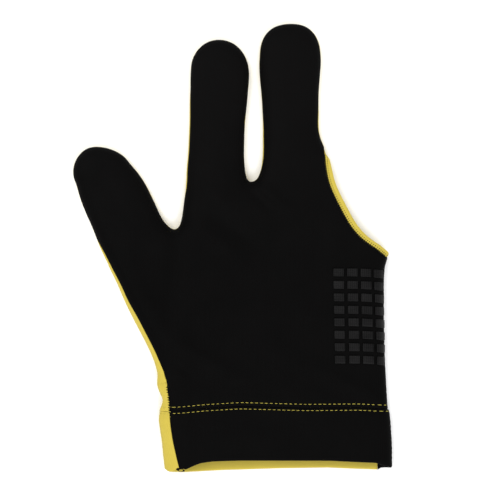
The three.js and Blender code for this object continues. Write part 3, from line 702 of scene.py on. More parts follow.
class Plan:
    """The outline, the sides that the cloth rolls over and the lines that its sheets are cut along."""

    def __init__(self, sizes):
        self.sizes = sizes
        self.known = {}
        self.set_stalls()
        self.corner = self.palm_point(PALM_CORNER)
        self.stall_outline = self.outline_of_stalls()
        cuff_left = [self.cuff_point(row) for row in CUFF_LEFT]
        palm_left = [self.palm_point(row) for row in PALM_LEFT]
        self.left_control = np.array([*cuff_left, *palm_left, *self.stall_outline])
        palm_right = [self.palm_point(row) for row in PALM_RIGHT]
        cuff_right = [self.cuff_point(row) for row in CUFF_RIGHT]
        self.right_control = np.array([self.corner, *palm_right, *cuff_right])
        self.left_x = self.left_control[0][0]
        self.right_x = self.right_control[-1][0]
        self.set_sides()
        self.set_waves()
        low = self.sides_start.min(0)
        self.shift = np.array([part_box("back_panel")[0].x - low[0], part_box("back_cuff")[0].y, 0.0])

    def set_stalls(self):
        """Where the three stalls stand, how large they are and how they end."""
        sizes = self.sizes
        palm_top = sizes.cuff_height + sizes.palm_length
        self.total_length = palm_top + sizes.knuckle_step + sizes.middle_length
        index_x = INDEX["out"] * sizes.palm_width
        middle_x = index_x + (sizes.index_width + sizes.middle_width) / 2 + sizes.finger_gap
        self.thumb = THUMB | {
            "root": self.palm_point(THUMB),
            "lean": sizes.thumb_lean,
            "length": sizes.thumb_length,
            "width": sizes.thumb_width,
            "sides": THUMB_SIDES,
        }
        self.index = INDEX | {
            "root": (index_x, palm_top),
            "length": sizes.index_length,
            "width": sizes.index_width,
            "sides": INDEX_SIDES,
        }
        self.middle = MIDDLE | {
            "root": (middle_x, palm_top + sizes.knuckle_step),
            "length": sizes.middle_length,
            "width": sizes.middle_width,
            "sides": MIDDLE_SIDES,
        }

    def cuff_point(self, row):
        """A place on the cuff from its shares."""
        return np.array([row["out"] * self.sizes.cuff_width, row["along"] * self.sizes.cuff_height])

    def palm_point(self, row):
        """A place on the palm from its shares."""
        y = self.sizes.cuff_height + row["along"] * self.sizes.palm_length
        return np.array([row["out"] * self.sizes.palm_width, y])

    def stall_point(self, stall, along, across):
        """A place on a stall from its shares, turned with its lean."""
        x, y = across * stall["width"], along * stall["length"]
        cos, sin = math.cos(stall["lean"]), math.sin(stall["lean"])
        return np.array([x * cos - y * sin, x * sin + y * cos]) + stall["root"]

    def stall_side(self, stall, side):
        """The points of a stall's left or right side, from its root up."""
        sign = -1 if side == "left" else 1
        rows = [row for row in stall["sides"] if side in row]
        return [self.stall_point(stall, row["along"], sign * row[side]) for row in rows]

    def stall_tip(self, stall, steps=9):
        """The round tip, a superellipse from the left side's last point to the right side's."""
        start = stall["sides"][-1]
        half = (start["left"] + start["right"]) / 2
        middle = (start["right"] - start["left"]) / 2
        power = 2 / stall["squareness"]
        points = []
        for step in range(1, steps):
            turn = math.pi * step / steps
            height = math.sin(turn) ** power
            spread = -math.copysign(abs(math.cos(turn)) ** power, math.cos(turn))
            along = start["along"] + (1 - start["along"]) * height
            across = middle + half * spread + stall["apex"] * height
            points.append(self.stall_point(stall, along, across))
        return points

    def outline_of_stalls(self):
        """The three stalls and their webs, from the thumb's root to the opening."""
        thumb_right = self.stall_side(self.thumb, "right")[::-1]
        index_left = self.stall_side(self.index, "left")
        index_right = self.stall_side(self.index, "right")[::-1]
        middle_left = self.stall_side(self.middle, "left")
        return [
            *self.stall_side(self.thumb, "left"),
            *self.stall_tip(self.thumb),
            *thumb_right,
            *web_points(thumb_right[-1], index_left[0], self.sizes.thumb_web, THUMB_WEB),
            *index_left,
            *self.stall_tip(self.index),
            *index_right,
            *web_points(index_right[-1], middle_left[0], self.sizes.finger_web, FINGER_WEB),
            *middle_left,
            *self.stall_tip(self.middle),
            *self.stall_side(self.middle, "right")[::-1],
        ]

    def strip_seam(self):
        """The seam of the black and the yellow cloth on the palm side, inside the outline."""
        rows = [*CUFF_LEFT, *PALM_LEFT, *[row for row in THUMB_SIDES if "strip" in row]]
        points = []
        for index, row in enumerate(rows):
            ahead = unit(self.left_control[index + 1] - self.left_control[max(index - 1, 0)])
            inward = np.array([ahead[1], -ahead[0]])
            trim = self.sizes.strip_trim * min(1, row["strip"] / WHOLE_TRIM)
            reach = row["strip"] * self.sizes.strip_width - trim
            points.append(self.left_control[index] + inward * reach)
        return points

    def opening_line(self, step):
        """The edge of the opening in the plan, from the middle finger down."""
        top = self.left_control[-1]
        way = self.corner - top
        inside = np.array([way[1], -way[0]])
        middle = [top + way * row["along"] + inside * row["dip"] for row in OPENING]
        return smooth_line([top, *middle, self.corner], step)

    def set_sides(self):
        """The two sides as segments. Each side runs with the hand on its right."""
        reach = PAST_ENDS * self.sizes.edge_round
        left = smooth_line(self.left_control, SIDE_STEP)
        right = smooth_line(self.right_control, SIDE_STEP)
        left = np.vstack([left[0] + unit(left[0] - left[1]) * reach, left])
        before = right[0] + unit(right[0] - right[1]) * reach
        beyond = right[-1] + unit(right[-1] - right[-2]) * reach
        right = np.vstack([before, right, beyond])
        starts, ends, start_normals, end_normals, last = [], [], [], [], []
        for line in (left, right):
            normals = -directions(line)[1]
            starts.append(line[:-1])
            ends.append(line[1:])
            start_normals.append(normals[:-1])
            end_normals.append(normals[1:])
            last.append(np.arange(len(line) - 1) == len(line) - 2)
        self.sides_start = np.vstack(starts)
        self.sides_span = np.vstack(ends) - self.sides_start
        self.sides_square = (self.sides_span**2).sum(1)
        self.sides_normal = np.vstack(start_normals)
        self.sides_turn = np.vstack(end_normals) - self.sides_normal
        self.sides_last = np.concatenate(last)

    def nearest(self, points):
        """The nearest point of a side, the inward direction and the distance, below 0 outside.
        Answers are kept, because a sheet asks for the same points several times."""
        key = points.tobytes()
        if key not in self.known:
            self.known[key] = self.find_nearest(points)
        return self.known[key]

    def find_nearest(self, points):
        """The same answer, worked out for some points at a time."""
        foot, inward = np.empty_like(points), np.empty_like(points)
        distance = np.empty(len(points))
        for first in range(0, len(points), POINTS_AT_ONCE):
            part = points[first : first + POINTS_AT_ONCE]
            offset = part[:, None] - self.sides_start[None]
            raw = (offset * self.sides_span).sum(2) / self.sides_square
            offset -= np.clip(raw, 0, 1)[..., None] * self.sides_span
            best = (offset**2).sum(2).argmin(1)
            rows = np.arange(len(part))
            raw = raw[rows, best]
            share = np.clip(raw, 0, 1)[:, None]
            near = self.sides_start[best] + self.sides_span[best] * share
            normal = unit(self.sides_normal[best] + self.sides_turn[best] * share)
            away = part - near
            past = (raw > 1) & self.sides_last[best]
            sign = np.where(past | ((away * normal).sum(1) >= 0), 1.0, -1.0)
            gap = sign * np.linalg.norm(away, axis=1)
            safe = np.where(np.abs(gap) > 1e-8, gap, 1.0)
            steady = np.abs(gap) > ON_SIDE
            inward[first : first + POINTS_AT_ONCE] = np.where(steady[:, None], away / safe[:, None], normal)
            foot[first : first + POINTS_AT_ONCE] = near
            distance[first : first + POINTS_AT_ONCE] = gap
        return foot, inward, distance

    def half_height(self, y):
        """Half the glove's thickness, without the palm side's crown."""
        fullness = share_at(FULLNESS, y / self.total_length)
        return self.sizes.hand_thickness * (1 - CROWN_SHARE) * fullness / 2

    def lift(self, y):
        """How far the glove's middle is raised by its thicker cuff."""
        height = self.sizes.cuff_height
        below = CUFF_LIFT["ends"] * height - y
        return self.sizes.cuff_proud * smoothstep(below, 0, CUFF_LIFT["over"] * height)

    def fold_rise(self, plan):
        """How far the soft folds raise the palm side."""
        thickness = self.sizes.hand_thickness
        rise = np.zeros(len(plan))
        for fold in FOLDS:
            start = self.palm_point({"along": fold["y1"], "out": fold["x1"]})
            end = self.palm_point({"along": fold["y2"], "out": fold["x2"]})
            way = end - start
            reach = math.hypot(*way)
            offset = plan - (start + end) / 2
            along = offset @ way / reach**2 / FOLD_FADE
            aside = offset @ np.array([-way[1], way[0]]) / reach / (fold["spread"] * thickness)
            rise += fold["rise"] * thickness * np.exp(-(along**2) - aside**2)
        return rise

    def roll(self, points, layer, depth):
        """The place in space of points of a flat sheet, before the shift into the frame.
        layer is 1 for the palm side and -1 for the back, and depth is how far inside the cloth's
        outer face a point lies."""
        points = np.atleast_2d(points)
        depth = np.broadcast_to(depth, len(points))
        foot, inward, distance = self.nearest(points)
        flat, side = np.abs(distance), self.sizes.edge_round
        turn = np.minimum(flat / side, 1) * math.pi / 2
        rolled = depth + (side - depth) * (1 - np.cos(turn))
        plan = foot + inward * np.where(flat < side, rolled, flat)[:, None]
        face = np.where(distance >= 0, layer, -layer)
        half = self.half_height(plan[:, 1])
        crown = smoothstep(flat, 0, self.sizes.crown_reach) * CROWN_SHARE * 2 * half
        soft = np.where(face > 0, np.sin(turn) ** 2 * (crown + self.fold_rise(plan)), 0.0)
        z = self.lift(plan[:, 1]) + half + face * (half - depth) * np.sin(turn) + soft
        return np.column_stack([plan, z])

    def flatten(self, points, folded=False, shift=0.0):
        """Where points of the plan lie on a flat sheet, on its own layer or folded to the other."""
        foot, inward, distance = self.nearest(np.atleast_2d(points))
        side = self.sizes.edge_round
        turn = np.arccos(np.clip(1 - np.maximum(distance, 0) / side, -1, 1))
        flat = np.where(distance < side, side * 2 / math.pi * turn, distance)
        return foot + inward * ((-flat if folded else flat) + shift)[:, None]

    def inset(self, line, distance):
        """A line along the sides, moved inward from them."""
        foot, inward, _ = self.nearest(line)
        return foot + inward * np.broadcast_to(distance, len(line))[:, None]

    # Heights of a flat sheet's points over the lines across the cuff

    def across_cuff(self, table, x, height):
        """The height of a line across the cuff."""
        return share_at(table, (x - self.left_x) / (self.right_x - self.left_x)) * height

    def over_seam(self, layer, shift):
        """How far points of a flat sheet lie over the cuff's seam."""

        def over(points):
            place = self.roll(points, layer, 0)
            return place[:, 1] - self.across_cuff(CUFF_SEAM, place[:, 0], self.sizes.cuff_height) - shift

        return over

    def over_hem(self, layer):
        """How far points of a flat sheet lie over the hem of the side that they are on."""

        def over(points):
            place = self.roll(points, layer, 0)
            folded = self.nearest(points)[2] < 0
            other, own = (BACK_HEM, PALM_HEM) if layer > 0 else (PALM_HEM, BACK_HEM)
            step = self.sizes.hem_step
            rise = np.where(
                folded,
                self.across_cuff(other, place[:, 0], step),
                self.across_cuff(own, place[:, 0], step),
            )
            return place[:, 1] - rise

        return over

    # Waves and puckers of the cloth

    def set_waves(self):
        """Shallow waves that make the cloth look laid by hand."""
        chance = np.random.default_rng(WAVES["seed"])
        count = WAVES["count"]
        lengths = chance.uniform(WAVES["shortest"], WAVES["longest"], count)
        headings = chance.uniform(0, math.pi, count)
        ways = np.column_stack([np.cos(headings), np.sin(headings)])
        self.wave_steps = ways * (2 * math.pi / lengths)[:, None]
        self.wave_phases = chance.uniform(0, 2 * math.pi, count)
        self.wave_heights = WAVES["rise"] * lengths

    def beside_strip(self, points):
        """1 on the cuff's left side, fading to 0 away from it."""
        return np.exp(-(((points[:, 0] - self.left_x) / STRIP_REACH) ** 2))

    def relief(self, points, layer):
        """How far the cloth stands out of its smooth form, palm and back alike."""
        waves = np.sin(points @ self.wave_steps.T + self.wave_phases) @ self.wave_heights
        over = self.over_seam(layer, 0)(points)
        left = self.beside_strip(points)
        x, y = points[:, 0], points[:, 1]
        drift = GATHERS["drift"] * np.sin(x / GATHERS["drift_length"])
        near = np.exp(-((over / GATHERS["reach"]) ** 2))
        gathers = np.sin(x / GATHERS["length"] + drift) * near * GATHERS["rise"] * (1 + left / 2)
        fade = smoothstep(over, 0, PUCKERS["start"]) * np.exp(-over / PUCKERS["reach"])
        puckers = np.sin(y / PUCKERS["length"]) * left * fade * PUCKERS["rise"]
        rise = waves + gathers + puckers
        _, _, distance = self.nearest(points)
        face = np.where(distance >= 0, layer, -layer)
        return np.where(face > 0, rise, np.minimum(rise, 0) * BACK_RELIEF)

    def stitch_groove(self, points, layer):
        """The dent that the topstitch pulls into the cloth, on both sides of the cuff's seam."""
        over = self.over_seam(layer, 0)(points)
        rows = (self.sizes.upper_row, -self.sizes.lower_row)
        return sum(GROOVE["depth"] * np.exp(-(((over - row) / GROOVE["reach"]) ** 2)) for row in rows)

    def surface_depth(self, points, layer, proud):
        """The depth of the cloth's outer face, away from its edges."""
        swell = proud * self.swelling(points, layer) if proud else 0.0
        return self.stitch_groove(points, layer) - self.relief(points, layer) - swell

    def swelling(self, points, layer):
        """How far the doubled cuff has swelled out below its seam, slowly beside the strip."""
        below = -self.over_seam(layer, 0)(points)
        reach = SWELLING["reach"] + SWELLING["reach_at_strip"] * self.beside_strip(points)
        return smoothstep(below, -SWELLING["start"], reach)

    def sliver_at(self, line):
        """The width of the back's cloth that shows beside the stalls, along an outline."""
        sizes = self.sizes
        width = np.zeros(len(line))
        for row in SLIVERS:
            low, high = row["low"] * self.total_length, row["high"] * self.total_length
            close = np.abs(line[:, 0] - row["x"] * sizes.palm_width) < SLIVER_ENDS["close"]
            rise = smoothstep(line[:, 1], low, low + SLIVER_ENDS["low"])
            fall = smoothstep(high - line[:, 1], 0, SLIVER_ENDS["high"])
            width = np.where(close, sizes.sliver * rise * fall, width)
        return width

    # Edges of the flat sheets

    def sheet_edges(self, layer, step):
        """The edge on the thumb side, and the one on the little finger's side up to the opening."""
        half = self.sizes.seam_gap / 2
        on_palm = layer > 0
        seam = smooth_line(self.strip_seam(), step)
        outline = smooth_line(self.stall_outline, step)
        first = np.argmax(outline[:, 1] > seam[-1][1] + step / 2)
        strip = self.flatten(seam, folded=not on_palm, shift=half)
        sliver = self.sliver_at(outline[first:]) * layer
        left = np.vstack([strip, self.inset(outline[first:], half + sliver)])
        wrap = self.flat_wrap()
        right_plan = smooth_line(self.right_control, step)[::-1]
        right = self.inset(right_plan, (half - wrap) if on_palm else (wrap + half))
        down = np.array([0, self.sizes.hem_step])
        return np.vstack([left[0] - down, left]), np.vstack([right[0] - down, right])

    def flat_wrap(self):
        """How far the palm's cloth is folded round, on the flat sheet."""
        side = self.sizes.edge_round
        return side * 2 / math.pi * math.acos(1 - min(self.sizes.side_wrap / side, 1))

    def opening_edge(self, layer, step):
        """The edge along the opening, and the corner where it meets the little finger's side."""
        line = self.opening_line(step)
        distance = self.nearest(line)[2]
        wrap = self.sizes.side_wrap
        late = np.arange(len(line)) > len(line) / 2
        target = int(np.argmax(late & (distance < wrap)))
        share = (distance[target - 1] - wrap) / (distance[target - 1] - distance[target])
        point = line[target - 1] + (line[target] - line[target - 1]) * share
        corner = self.flatten(point, folded=layer > 0, shift=self.sizes.seam_gap / 2)[0]
        if layer < 0:
            edge = self.flatten(line[~late | (distance > wrap + step / 3)][1:])
        else:
            around = self.flatten(line[late & (distance < wrap - step / 3)][:-1], folded=True)[::-1]
            edge = np.vstack([self.flatten(line[1:]), around])
        apart = np.linalg.norm(edge - corner, axis=1) > step / 3
        return edge[apart], corner


def web_points(start, end, depth, rows):
    """The points of a web, which hangs between the roots of two stalls."""
    points = []
    for row in rows:
        point = start + (end - start) * row["across"]
        points.append(point - np.array([0, row["drop"] * depth]))
    return points


def crossing_of(line, over, step):
    """Where a rising line crosses a height, and the parts below and above."""
    heights = over(line)
    after = int(np.argmax(heights > 0))
    share = heights[after - 1] / (heights[after - 1] - heights[after])
    crossing = line[after - 1] + (line[after] - line[after - 1]) * share
    apart = np.linalg.norm(line - crossing, axis=1) > step / 3
    early = np.arange(len(line)) < after
    return crossing, line[early & apart], line[~early & apart]


def level_line(start, end, over, step):
    """Points between two corners along a line across the sheet, without the corners."""
    spans = max(1, round(abs(end[0] - start[0]) / step))
    share = np.linspace(0, 1, spans + 1)[1:-1, None]
    points = start + (end - start) * share
    for _ in range(4):
        points[:, 1] -= over(points)
    return points


def panel_outline(plan, layer):
    """A panel's loop as (kind of edge, points) in turn, with the cloth on its right."""
    step = OUTLINE_STEP * plan.sizes.mesh_step
    left, right = plan.sheet_edges(layer, step)
    edge, corner = plan.opening_edge(layer, step)
    over = plan.over_seam(layer, plan.sizes.seam_gap / 2)
    left_cross, _, left_up = crossing_of(left, over, step)
    right_cross, _, right_up = crossing_of(right, over, step)
    right_up = right_up[right_up[:, 1] < corner[1] - step / 3]
    return [
        ("seam", np.vstack([left_cross, left_up])),
        ("raw", np.vstack([edge, corner])),
        ("seam", np.vstack([right_up[::-1], right_cross])),
        ("seam", level_line(right_cross, left_cross, over, step)),
    ]


def cuff_outline(plan, layer):
    """A cuff band's loop, in the same form."""
    step = OUTLINE_STEP * plan.sizes.mesh_step
    left, right = plan.sheet_edges(layer, step)
    over = plan.over_seam(layer, -plan.sizes.seam_gap / 2)
    left_top, left_low, _ = crossing_of(left, over, step)
    right_top, right_low, _ = crossing_of(right, over, step)
    left_hem, _, left_up = crossing_of(left_low, plan.over_hem(layer), step)
    right_hem, _, right_up = crossing_of(right_low, plan.over_hem(layer), step)
    return [
        ("seam", np.vstack([left_hem, left_up, left_top])),
        ("seam", level_line(left_top, right_top, over, step)),
        ("seam", np.vstack([right_top, right_up[::-1], right_hem])),
        ("hem", level_line(right_hem, left_hem, plan.over_hem(layer), step)),
    ]


# Meshes of cloth


def flat_mesh(loop, step):
    """Points and triangles inside a loop, with rows close to its edge and a lattice further in."""
    ahead = np.roll(loop, -1, axis=0) - np.roll(loop, 1, axis=0)
    inward = unit(np.column_stack([ahead[:, 1], -ahead[:, 0]]))
    closed = np.vstack([loop, loop[:1]])
    points = [loop]
    for depth in EDGE_ROWS:
        row = loop + inward * depth
        gap = distance_to_line(row, closed)
        points.append(row[(gap > ROW_SPACE * depth) & is_inside(row, loop)])
    low, high = loop.min(0), loop.max(0)
    rise = step * math.sqrt(3) / 2
    across = np.arange(low[0], high[0], step)
    grid = []
    for number, y in enumerate(np.arange(low[1], high[1], rise)):
        shift = step / 2 * (number % 2)
        grid.append(np.column_stack([across + shift, np.full(len(across), y)]))
    grid = np.vstack(grid)
    grid = grid[is_inside(grid, loop)]
    grid = grid[distance_to_line(grid, closed) > EDGE_ROWS[-1] + 0.5 * step]
    points = np.vstack([*points, grid]) / MM
    edges = [(index, (index + 1) % len(loop)) for index in range(len(loop))]
    made = geometry.delaunay_2d_cdt([Vector(point) for point in points], edges, [], 1, 1e-4)
    faces = np.array(made[2])
    return np.array([tuple(point) for point in made[0]]) * MM, faces


def round_share(distance, reach):
    """How much of its round an edge has at a distance, from 1 on the edge to 0 at its reach."""
    return 1 - np.sqrt(1 - (1 - np.clip(distance / reach, 0, 1)) ** 2)


def edge_gaps(flat, outline):
    """The distance from each point to the nearest edge of each kind."""
    gaps = {kind: np.full(len(flat), 1.0) for kind in ("seam", "hem", "raw")}
    for number, (kind, points) in enumerate(outline):
        following = outline[(number + 1) % len(outline)][1][:1]
        line = np.vstack([points, following])
        gaps[kind] = np.minimum(gaps[kind], distance_to_line(flat, line))
    return gaps


def sheet_depths(plan, layer, flat, gaps, proud):
    """The depths of a sheet's outer and inner faces, with its edges rounded."""
    cloth = plan.sizes.cloth
    seam_round = SEAM_ROUND["palm"] if layer > 0 else SEAM_ROUND["back"]
    outer = plan.surface_depth(flat, layer, proud)
    outer = outer + seam_round * round_share(gaps["seam"], SEAM_ROUND["reach"])
    outer = outer + RAW_ROUND["depth"] * round_share(gaps["raw"], RAW_ROUND["reach"])
    inner = cloth - plan.relief(flat, layer)
    hem = HEM_ROUND["share"] * (cloth + proud) * round_share(gaps["hem"], HEM_ROUND["reach"])
    return outer + hem, inner - hem


def closed_faces(faces, count):
    """A sheet's outer and inner faces, and the walls that join them along its edge."""
    edges = np.vstack([faces[:, [0, 1]], faces[:, [1, 2]], faces[:, [2, 0]]])
    keys = set(map(tuple, edges))
    rim = np.array([edge for edge in keys if (edge[1], edge[0]) not in keys])
    walls = np.column_stack([rim[:, 0], rim[:, 0] + count, rim[:, 1] + count, rim[:, 1]])
    return [*faces.tolist(), *(faces[:, ::-1] + count).tolist(), *walls.tolist()]


def sheet_mesh(plan, layer, outline, proud):
    """A closed sheet of cloth with round edges: its points, faces and flat places."""
    loop = np.vstack([points for _, points in outline])
    flat, faces = flat_mesh(loop, plan.sizes.mesh_step)
    a, b, c = flat[faces[:, 0]], flat[faces[:, 1]], flat[faces[:, 2]]
    turned = np.cross(b - a, c - a) * layer < 0
    faces[turned] = faces[turned][:, ::-1]
    outer, inner = sheet_depths(plan, layer, flat, edge_gaps(flat, outline), proud)
    places = np.vstack([plan.roll(flat, layer, outer), plan.roll(flat, layer, inner)])
    return places, closed_faces(faces, len(flat)), np.vstack([flat, flat])


def make_object(name, places, faces, flat):
    """A smooth-shaded mesh object at the origin, with its flat places as a UV map in metres."""
    mesh = bpy.data.meshes.new(name)
    mesh.from_pydata([tuple(place) for place in places], [], faces)
    mesh.polygons.foreach_set("use_smooth", [True] * len(mesh.polygons))
    lay_flat(mesh, flat)
    made = bpy.data.objects.new(name, mesh)
    bpy.context.scene.collection.objects.link(made)
    return made


def lay_flat(mesh, flat):
    """Gives a mesh its UV map from the flat place of each of its points."""
    corners = np.empty(len(mesh.loops), int)
    mesh.loops.foreach_get("vertex_index", corners)
    layer = mesh.uv_layers.new(name="cloth")
    layer.data.foreach_set("uv", flat[corners].astype(np.float32).ravel())


def dress(piece, material, slot, *nodes):
    """Gives a piece its material and its place on the frame's body. slot is not used."""
    piece.data.materials.clear()
    piece.data.materials.append(material)
    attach(piece, "root")
    if nodes:
        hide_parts(*nodes)
    return piece


def cloth_piece(name, plan, layer, outline, material, slot, node, proud=0.0):
    """A sheet of cloth that stands for a node."""
    places, faces, flat = sheet_mesh(plan, layer, outline, proud)
    piece = make_object(name, places + plan.shift, faces, flat)
    dress(piece, material, slot, node)
    return piece


# Materials


def new_material(name, base, roughness, specular):
    """A material and its principled shader, with the constants on the shader's own sockets."""
    material = bpy.data.materials.new(name)
    material.use_nodes = True
    shader = material.node_tree.nodes["Principled BSDF"]
    shader.inputs["Base Color"].default_value = base
    shader.inputs["Roughness"].default_value = roughness
    shader.inputs["Specular IOR Level"].default_value = specular
    return material, material.node_tree, shader


def math_of(tree, operation, first, second=None, third=None):
    """The result of one operation on values or other results."""
    node = tree.nodes.new("ShaderNodeMath")
    node.operation = operation
    for socket, value in zip(node.inputs, (first, second, third)):
        if value is None:
            continue
        if isinstance(value, (int, float)):
            socket.default_value = value
        else:
            tree.links.new(value, socket)
    return node.outputs[0]


def wave_of(tree, operation, value, length=1.0):
    """A sine or cosine wave over a value."""
    return math_of(tree, operation, math_of(tree, "MULTIPLY", value, 2 * math.pi / length))


def object_place(tree):
    """Each point's place on the piece, in metres."""
    return tree.nodes.new("ShaderNodeTexCoord").outputs["Object"]


def flat_place(tree):
    """Each point's place on the flat cloth, across and along, in metres."""
    node = tree.nodes.new("ShaderNodeUVMap")
    node.uv_map = "cloth"
    split = tree.nodes.new("ShaderNodeSeparateXYZ")
    tree.links.new(node.outputs["UV"], split.inputs["Vector"])
    return split.outputs["X"], split.outputs["Y"]


def noise_of(tree, noise):
    """A noise over the piece, from 0 to 1."""
    node = tree.nodes.new("ShaderNodeTexNoise")
    node.inputs["Scale"].default_value = noise["scale"]
    node.inputs["Detail"].default_value = noise["detail"]
    tree.links.new(object_place(tree), node.inputs["Vector"])
    return node.outputs["Fac"]


def knit_height(tree, across, along):
    """The height of a plain knit, columns of small V shapes, from 0 to 1."""
    column = math_of(tree, "DIVIDE", across, KNIT["wale"])
    lean = math_of(tree, "PINGPONG", column, 0.5)
    row = math_of(tree, "DIVIDE", along, KNIT["course"])
    row = math_of(tree, "MULTIPLY_ADD", lean, KNIT["lean"], row)
    loops = wave_of(tree, "SINE", row)
    ribs = wave_of(tree, "COSINE", column)
    height = math_of(tree, "MULTIPLY_ADD", loops, KNIT["loops"], 0.5)
    return math_of(tree, "MULTIPLY_ADD", ribs, -KNIT["ribs"], height)


def add_bump(tree, shader, height, distance):
    """Shades the surface as if a height, times a distance, stood out of it."""
    node = tree.nodes.new("ShaderNodeBump")
    node.inputs["Strength"].default_value = 1.0
    node.inputs["Distance"].default_value = distance
    tree.links.new(height, node.inputs["Height"])
    tree.links.new(node.outputs["Normal"], shader.inputs["Normal"])


def shade_between(tree, shader, factor, dark, light):
    """Base colour from dark to light by a factor."""
    node = tree.nodes.new("ShaderNodeMix")
    node.data_type = "RGBA"
    node.inputs["A"].default_value = dark
    node.inputs["B"].default_value = light
    tree.links.new(factor, node.inputs["Factor"])
    tree.links.new(node.outputs["Result"], shader.inputs["Base Color"])


def scaled(base, share):
    """A colour made darker or lighter."""
    return (base[0] * share, base[1] * share, base[2] * share, 1.0)


def painted_sheen_factor(tree, along, stretch):
    """Painted sheen: how much lighter the base colour is made further along the cloth, over the stalls."""
    node = tree.nodes.new("ShaderNodeMapRange")
    node.inputs["From Min"].default_value = KNIT["painted_sheen_from"]
    node.inputs["From Max"].default_value = KNIT["painted_sheen_to"]
    node.inputs["To Max"].default_value = stretch
    tree.links.new(along, node.inputs["Value"])
    return node.outputs["Result"]


def knit_material(name, base, finish):
    """Stretch knit: small V loops in columns, a little fuzz and an uneven dye, with painted shade between
    the loops and a painted sheen over the stalls.
    """
    material, tree, shader = new_material(name, base, finish["roughness"], finish["specular"])
    across, along = flat_place(tree)
    knit = knit_height(tree, across, along)
    height = math_of(tree, "MULTIPLY_ADD", noise_of(tree, FUZZ), KNIT["fuzz"], knit)
    add_bump(tree, shader, height, finish["depth"])
    # painted shade: the base colour is lighter on the knit's loops and darker between them, mixed with the
    # uneven dye
    share = math_of(tree, "MULTIPLY", knit, 1 - KNIT["dye"])
    factor = math_of(tree, "MULTIPLY_ADD", noise_of(tree, DYE), KNIT["dye"], share)
    # painted sheen: the base colour is made lighter over the stalls
    factor = math_of(tree, "ADD", factor, painted_sheen_factor(tree, along, finish["stretch"]))
    contrast = finish["contrast"]
    shade_between(tree, shader, factor, scaled(base, 1 - contrast), scaled(base, 1 + contrast))
    shader.inputs["Sheen Weight"].default_value = finish["sheen"]
    shader.inputs["Sheen Roughness"].default_value = KNIT["sheen_roughness"]
    return material


def thread_material(name, base):
    """Twisted thread: fine slanting plies along each stitch."""
    material, tree, shader = new_material(name, base, TWIST["roughness"], TWIST["specular"])
    across, along = flat_place(tree)
    slant = math_of(tree, "MULTIPLY_ADD", across, TWIST["slant"], along)
    add_bump(tree, shader, wave_of(tree, "SINE", slant, TWIST["pitch"]), TWIST["depth"])
    dark, light = scaled(base, TWIST["dark"]), scaled(base, TWIST["light"])
    shade_between(tree, shader, noise_of(tree, THREAD_PATCHES), dark, light)
    return material


def rubber_material(name, base):
    """Satin rubber with a fine ribbed hatch moulded into it, and painted shade of the hatch: its grooves
    darker and its ribs lighter in the base colour.
    """
    material, tree, shader = new_material(name, base, RUBBER["roughness"], RUBBER["specular"])
    split = tree.nodes.new("ShaderNodeSeparateXYZ")
    tree.links.new(object_place(tree), split.inputs["Vector"])
    ribs = wave_of(tree, "SINE", split.outputs["X"], RUBBER["rib"])
    rows = wave_of(tree, "SINE", split.outputs["Y"], RUBBER["row"])
    hatch = math_of(tree, "MULTIPLY_ADD", rows, RUBBER["rows"], ribs)
    height = math_of(tree, "MULTIPLY_ADD", noise_of(tree, RUBBER_GRAIN), RUBBER["grain"], hatch)
    add_bump(tree, shader, height, RUBBER["depth"])
    patches = noise_of(tree, RUBBER_PATCHES)
    patches = math_of(tree, "MULTIPLY_ADD", patches, RUBBER["patches"], RUBBER["level"])
    patches = math_of(tree, "MULTIPLY_ADD", noise_of(tree, RUBBER_BROAD), RUBBER["broad"], patches)
    # painted shade: the hatch's grooves darker and its ribs lighter in the base colour, over the random
    # patches
    factor = math_of(tree, "MULTIPLY_ADD", hatch, RUBBER["hatch"], patches)
    shade_between(tree, shader, factor, scaled(base, RUBBER["dark"]), scaled(base, RUBBER["light"]))
    return material


def floor_material(name, base):
    """A pale matt floor, hardly mottled."""
    material, tree, shader = new_material(name, base, FLOOR["roughness"], FLOOR["specular"])
    grain = noise_of(tree, FLOOR_GRAIN)
    shade_between(tree, shader, grain, scaled(base, FLOOR["dark"]), scaled(base, 1.0))
    return material


def material_of(name, make, *details):
    """The named material, made the first time that it is asked for."""
    return bpy.data.materials.get(name) or make(name, *details)


def colours():
    """The colours set for this scene."""
    return bpy.context.scene.glove_colours


def black_cloth():
    """The stretch cloth of the palm side."""
    return material_of("black stretch knit", knit_material, colours().black_cloth, BLACK_KNIT)


def yellow_cloth():
    """The stretch cloth of the back."""
    base = scaled(colours().yellow_cloth, 1.0)
    return material_of("yellow stretch knit", knit_material, base, YELLOW_KNIT)


def shaded_yellow_cloth():
    """The same yellow cloth, darker: a painted shade for the back's cuff band."""
    base = scaled(colours().yellow_cloth, PAINTED_SHADE_SHARE)
    return material_of("yellow doubled knit", knit_material, base, YELLOW_KNIT)


def black_thread():
    """The thread of the seams."""
    return material_of("black thread", thread_material, colours().black_thread)


def yellow_thread():
    """The thread of the topstitch."""
    return material_of("yellow thread", thread_material, colours().yellow_thread)


def grip_rubber():
    """The rubber of the tiles."""
    return material_of("grip rubber", rubber_material, colours().grip_rubber)


def pale_floor():
    """The floor's finish."""
    return material_of("floor", floor_material, colours().floor)


# Stitches


def deselect_all():
    """Leaves nothing selected, so that an operator acts on the new piece alone."""
    for thing in bpy.context.scene.objects:
        thing.select_set(False)


def points_of(mesh):
    """The places of a mesh's points."""
    return np.array([tuple(vertex.co) for vertex in mesh.vertices])


def take_mesh(thing):
    """Removes a primitive, and returns its points and faces."""
    mesh = thing.data
    points = points_of(mesh)
    faces = [tuple(polygon.vertices) for polygon in mesh.polygons]
    bpy.data.objects.remove(thing)
    bpy.data.meshes.remove(mesh)
    return points, faces


